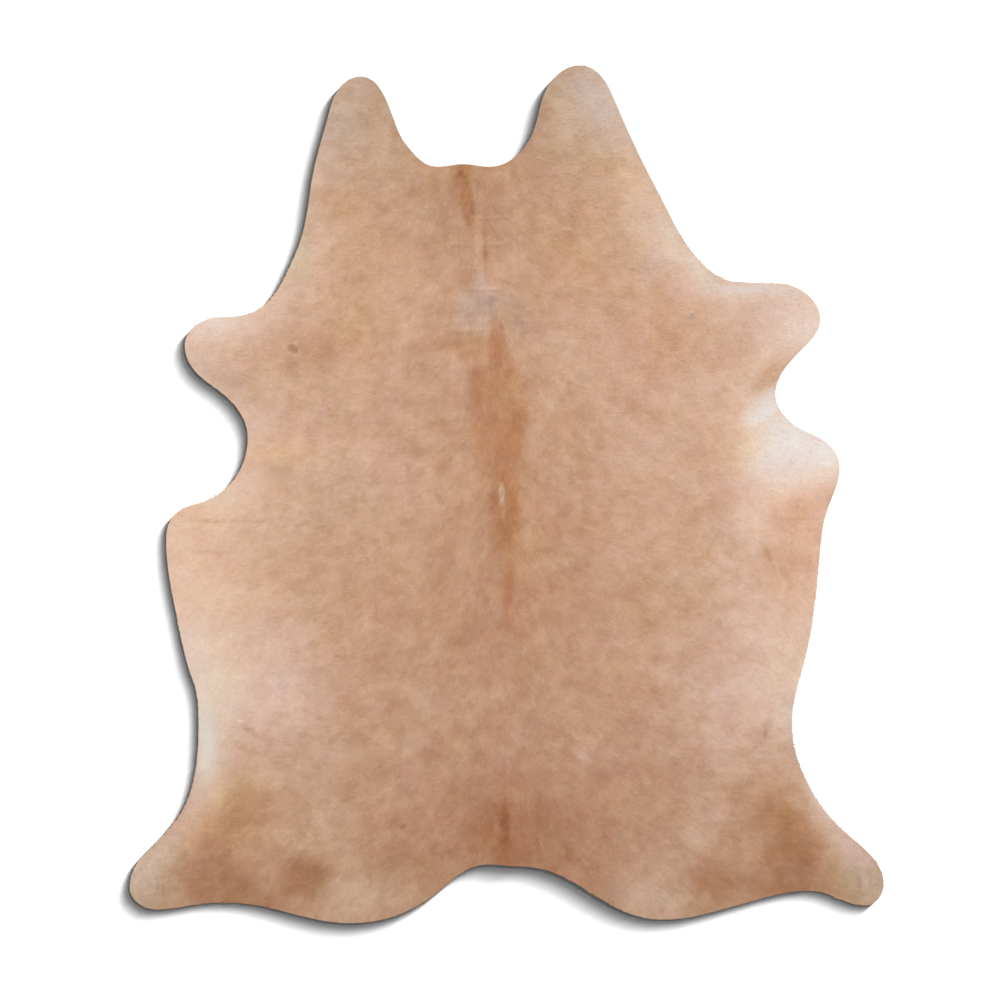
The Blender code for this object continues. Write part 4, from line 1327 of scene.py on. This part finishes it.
class CoatSettings(bpy.types.PropertyGroup):
    """Sizes and shades of the coat's locks."""

    layers: whole("Layers", "Layers of locks, one piece each", 4, 1, 4)
    spacing: metres("Spacing", "Distance between the locks of one layer", 0.0094, 0.0092, 0.05)
    length: metres("Lock length", "Length of a lock", 0.026, 0.005, 0.06)
    width: metres("Lock width", "Width of a lock", 0.0048, 0.001, 0.01)
    stray: number("Stray", "How far locks turn from the coat's heading, in degrees", 9.0, 0.0, 45.0)
    overhang: metres("Overhang", "How far tips may pass the cut edge", 0.0002, 0.0, 0.004)
    edge_margin: metres("Edge margin", "Least distance from a root to the cut edge", 0.0015, 0.0, 0.01)
    edge_drop: metres("Edge drop", "How far locks sink at the cut edge", 0.0009, 0.0, 0.003)
    lock_contrast: number("Lock contrast", "How far locks differ in level, out of 255", 1.5, 0.0, 20.0)
    ticks: number("Ticks", "Share of locks that are much lighter, and of those much darker", 0.02, 0.0, 0.5)
    tick_contrast: number("Tick contrast", "How far those differ in level, out of 255", 5.0, 0.0, 40.0)
    # Root shade and tip light paint shade at each lock's root and light at its tip.
    root_shade: number("Root shade", "How much darker a lock is at its root, in levels", 1.0, 0.0, 20.0)
    tip_light: number("Tip light", "How much lighter a lock is at its tip, in levels", 1.5, 0.0, 20.0)
    normal_tilt: number("Rounding", "How far a lock's sides shade as if round", 0.08)
    fibre_contrast: number("Fibre contrast", "How far fibres change the lightness", 0.02, 0.0, 0.5)
    tuft_size: metres("Tuft size", "Size of the coat's soft tufts", 0.010, 0.002, 0.05)
    tuft_contrast: number("Tuft contrast", "How far tufts change the lightness", 0.04, 0.0, 0.5)
    roughness: number("Roughness", "Dullness of the hair", 0.72, 0.1, 0.9)
    gloss: number("Gloss", "Strength of the hair's reflection", 0.12)
    sheen: number("Sheen", "Strength of the hair's velvet edge", 0.05)
    seed: whole("Seed", "Picks the locks' random places", 41)


class FringeSettings(bpy.types.PropertyGroup):
    """Sizes of the hair along the cut edge."""

    count: whole("Locks", "How many locks the edge has", 9000, 100, 12000)
    length: metres("Length", "Length of an edge lock", 0.012, 0.002, 0.03)
    width: metres("Width", "Width of an edge lock", 0.0017, 0.0005, 0.005)
    inset: metres("Inset", "How far inside the edge the roots reach", 0.008, 0.002, 0.03)
    overhang: metres("Overhang", "How far tips pass the cut edge", 0.0006, 0.0, 0.004)
    drop: metres("Drop", "How far tips sink past the cut edge", 0.0012, 0.0, 0.003)
    lightness: number("Lightness", "How much lighter the edge hair is, in levels", 0.0, -20.0, 20.0)
    seed: whole("Seed", "Picks the edge locks' random places", 71)


class StageSettings(bpy.types.PropertyGroup):
    """Camera, floor and light."""

    lens: number("Lens", "Focal length in millimetres", 85.0, 20.0, 200.0)
    view_width: metres("View width", "Width that the camera sees at the coat", 2.483)
    view_x: metres("View X", "Camera's place across the rug", -0.0165)
    view_y: metres("View Y", "Camera's place along the rug", -0.0145)
    floor_half_size: metres("Floor", "Half the floor's size", 14.0, 2.0)
    floor_shade: number("Floor shade", "Floor's grey", 0.58)
    sky: number("Sky", "Strength of the even light", 0.18)
    key: number("Key", "Light that the key gives the level coat", 0.95, 0.0, 4.0)
    key_azimuth: number("Key azimuth", "Degrees round from +X", 48.0, -180.0, 180.0)
    key_elevation: number("Key elevation", "Degrees above the floor", 80.0, 1.0, 90.0)
    key_spread: number("Key spread", "Softness of the key, in degrees", 36.0, 0.0, 180.0)
    floor_light: number("Floor light", "Brightness of the floor past the shadow", 1.0, 0.0, 4.0)
    floor_azimuth: number("Floor light azimuth", "Degrees round from +X", 45.0, -180.0, 180.0)


class COWHIDE_OT_skin(bpy.types.Operator):
    """Makes the skin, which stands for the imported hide."""

    bl_idname = "cowhide.make_skin"
    bl_label = "Make the skin"

    def execute(self, context):
        skin = make_skin(context.scene.cowhide_skin, context.scene.cowhide_coat)
        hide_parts("hide")
        return {"FINISHED"}


class COWHIDE_OT_coat(bpy.types.Operator):
    """Lays the coat on the skin, layer by layer."""

    bl_idname = "cowhide.lay_coat"
    bl_label = "Lay the coat"

    def execute(self, context):
        skin = context.scene.cowhide_skin
        coat = context.scene.cowhide_coat
        material = hair_material("coat_locks", coat, True)
        for layer in range(coat.layers):
            lay_layer(f"coat_layer_{layer + 1}", coat, skin, material, coat.seed + layer)
        return {"FINISHED"}


class COWHIDE_OT_edge(bpy.types.Operator):
    bl_idname = "cowhide.edge_hair"
    bl_label = "Set the edge hair"

    def execute(self, context):
        scene = context.scene
        skin = bpy.data.objects.get("hide_skin")
        material = bpy.data.materials.get("coat_locks")
        if skin is None or material is None:
            raise RuntimeError("make the skin and lay the coat before the edge hair")
        make_fringe(scene.cowhide_edge, scene.cowhide_coat, scene.cowhide_skin, material)
        hair = [piece for piece in piece_collection().objects if piece != skin]
        return {"FINISHED"}


class COWHIDE_OT_stage(bpy.types.Operator):
    """Sets the floor, the light and the camera."""

    bl_idname = "cowhide.set_stage"
    bl_label = "Set the stage"

    def execute(self, context):
        stage = context.scene.cowhide_stage
        floor = make_floor(stage)
        add_sun(
            "key_sun", stage.key_azimuth, stage.key_elevation, stage.key_spread, stage.key, piece_collection()
        )
        for sun in FLOOR_SUNS:
            light = stage.floor_light * sun.share / stage.floor_shade
            add_sun(sun.name, stage.floor_azimuth, sun.elevation, sun.spread, light, floor)
        set_sky(context.scene, stage.sky)
        set_camera(stage)
        return {"FINISHED"}


class COWHIDE_PT_panel(bpy.types.Panel):
    """Lists the rug's sizes and the steps that make it."""

    bl_idname = "COWHIDE_PT_panel"
    bl_label = "Cowhide rug"
    bl_space_type = "VIEW_3D"
    bl_region_type = "UI"
    bl_category = "Cowhide"

    def draw(self, context):
        for name, group, operator in STEPS:
            box = self.layout.box()
            for key in group.__annotations__:
                box.prop(getattr(context.scene, name), key)
            box.operator(operator.bl_idname)


STEPS = (
    ("cowhide_skin", SkinSettings, COWHIDE_OT_skin),
    ("cowhide_coat", CoatSettings, COWHIDE_OT_coat),
    ("cowhide_edge", FringeSettings, COWHIDE_OT_edge),
    ("cowhide_stage", StageSettings, COWHIDE_OT_stage),
)


def register():
    """Adds the settings, the operators and the panel."""
    for name, group, operator in STEPS:
        bpy.utils.register_class(group)
        setattr(bpy.types.Scene, name, PointerProperty(type=group))
        bpy.utils.register_class(operator)
    bpy.utils.register_class(COWHIDE_PT_panel)


def unregister():
    """Takes them away again."""
    bpy.utils.unregister_class(COWHIDE_PT_panel)
    for name, group, operator in reversed(STEPS):
        bpy.utils.unregister_class(operator)
        delattr(bpy.types.Scene, name)
        bpy.utils.unregister_class(group)


def main():
    """Makes the rug and its stage."""
    register()
    bpy.ops.cowhide.make_skin()
    bpy.ops.cowhide.lay_coat()
    bpy.ops.cowhide.edge_hair()
    bpy.ops.cowhide.set_stage()
    bpy.context.view_layer.update()


if __name__ == "__main__":
    main()
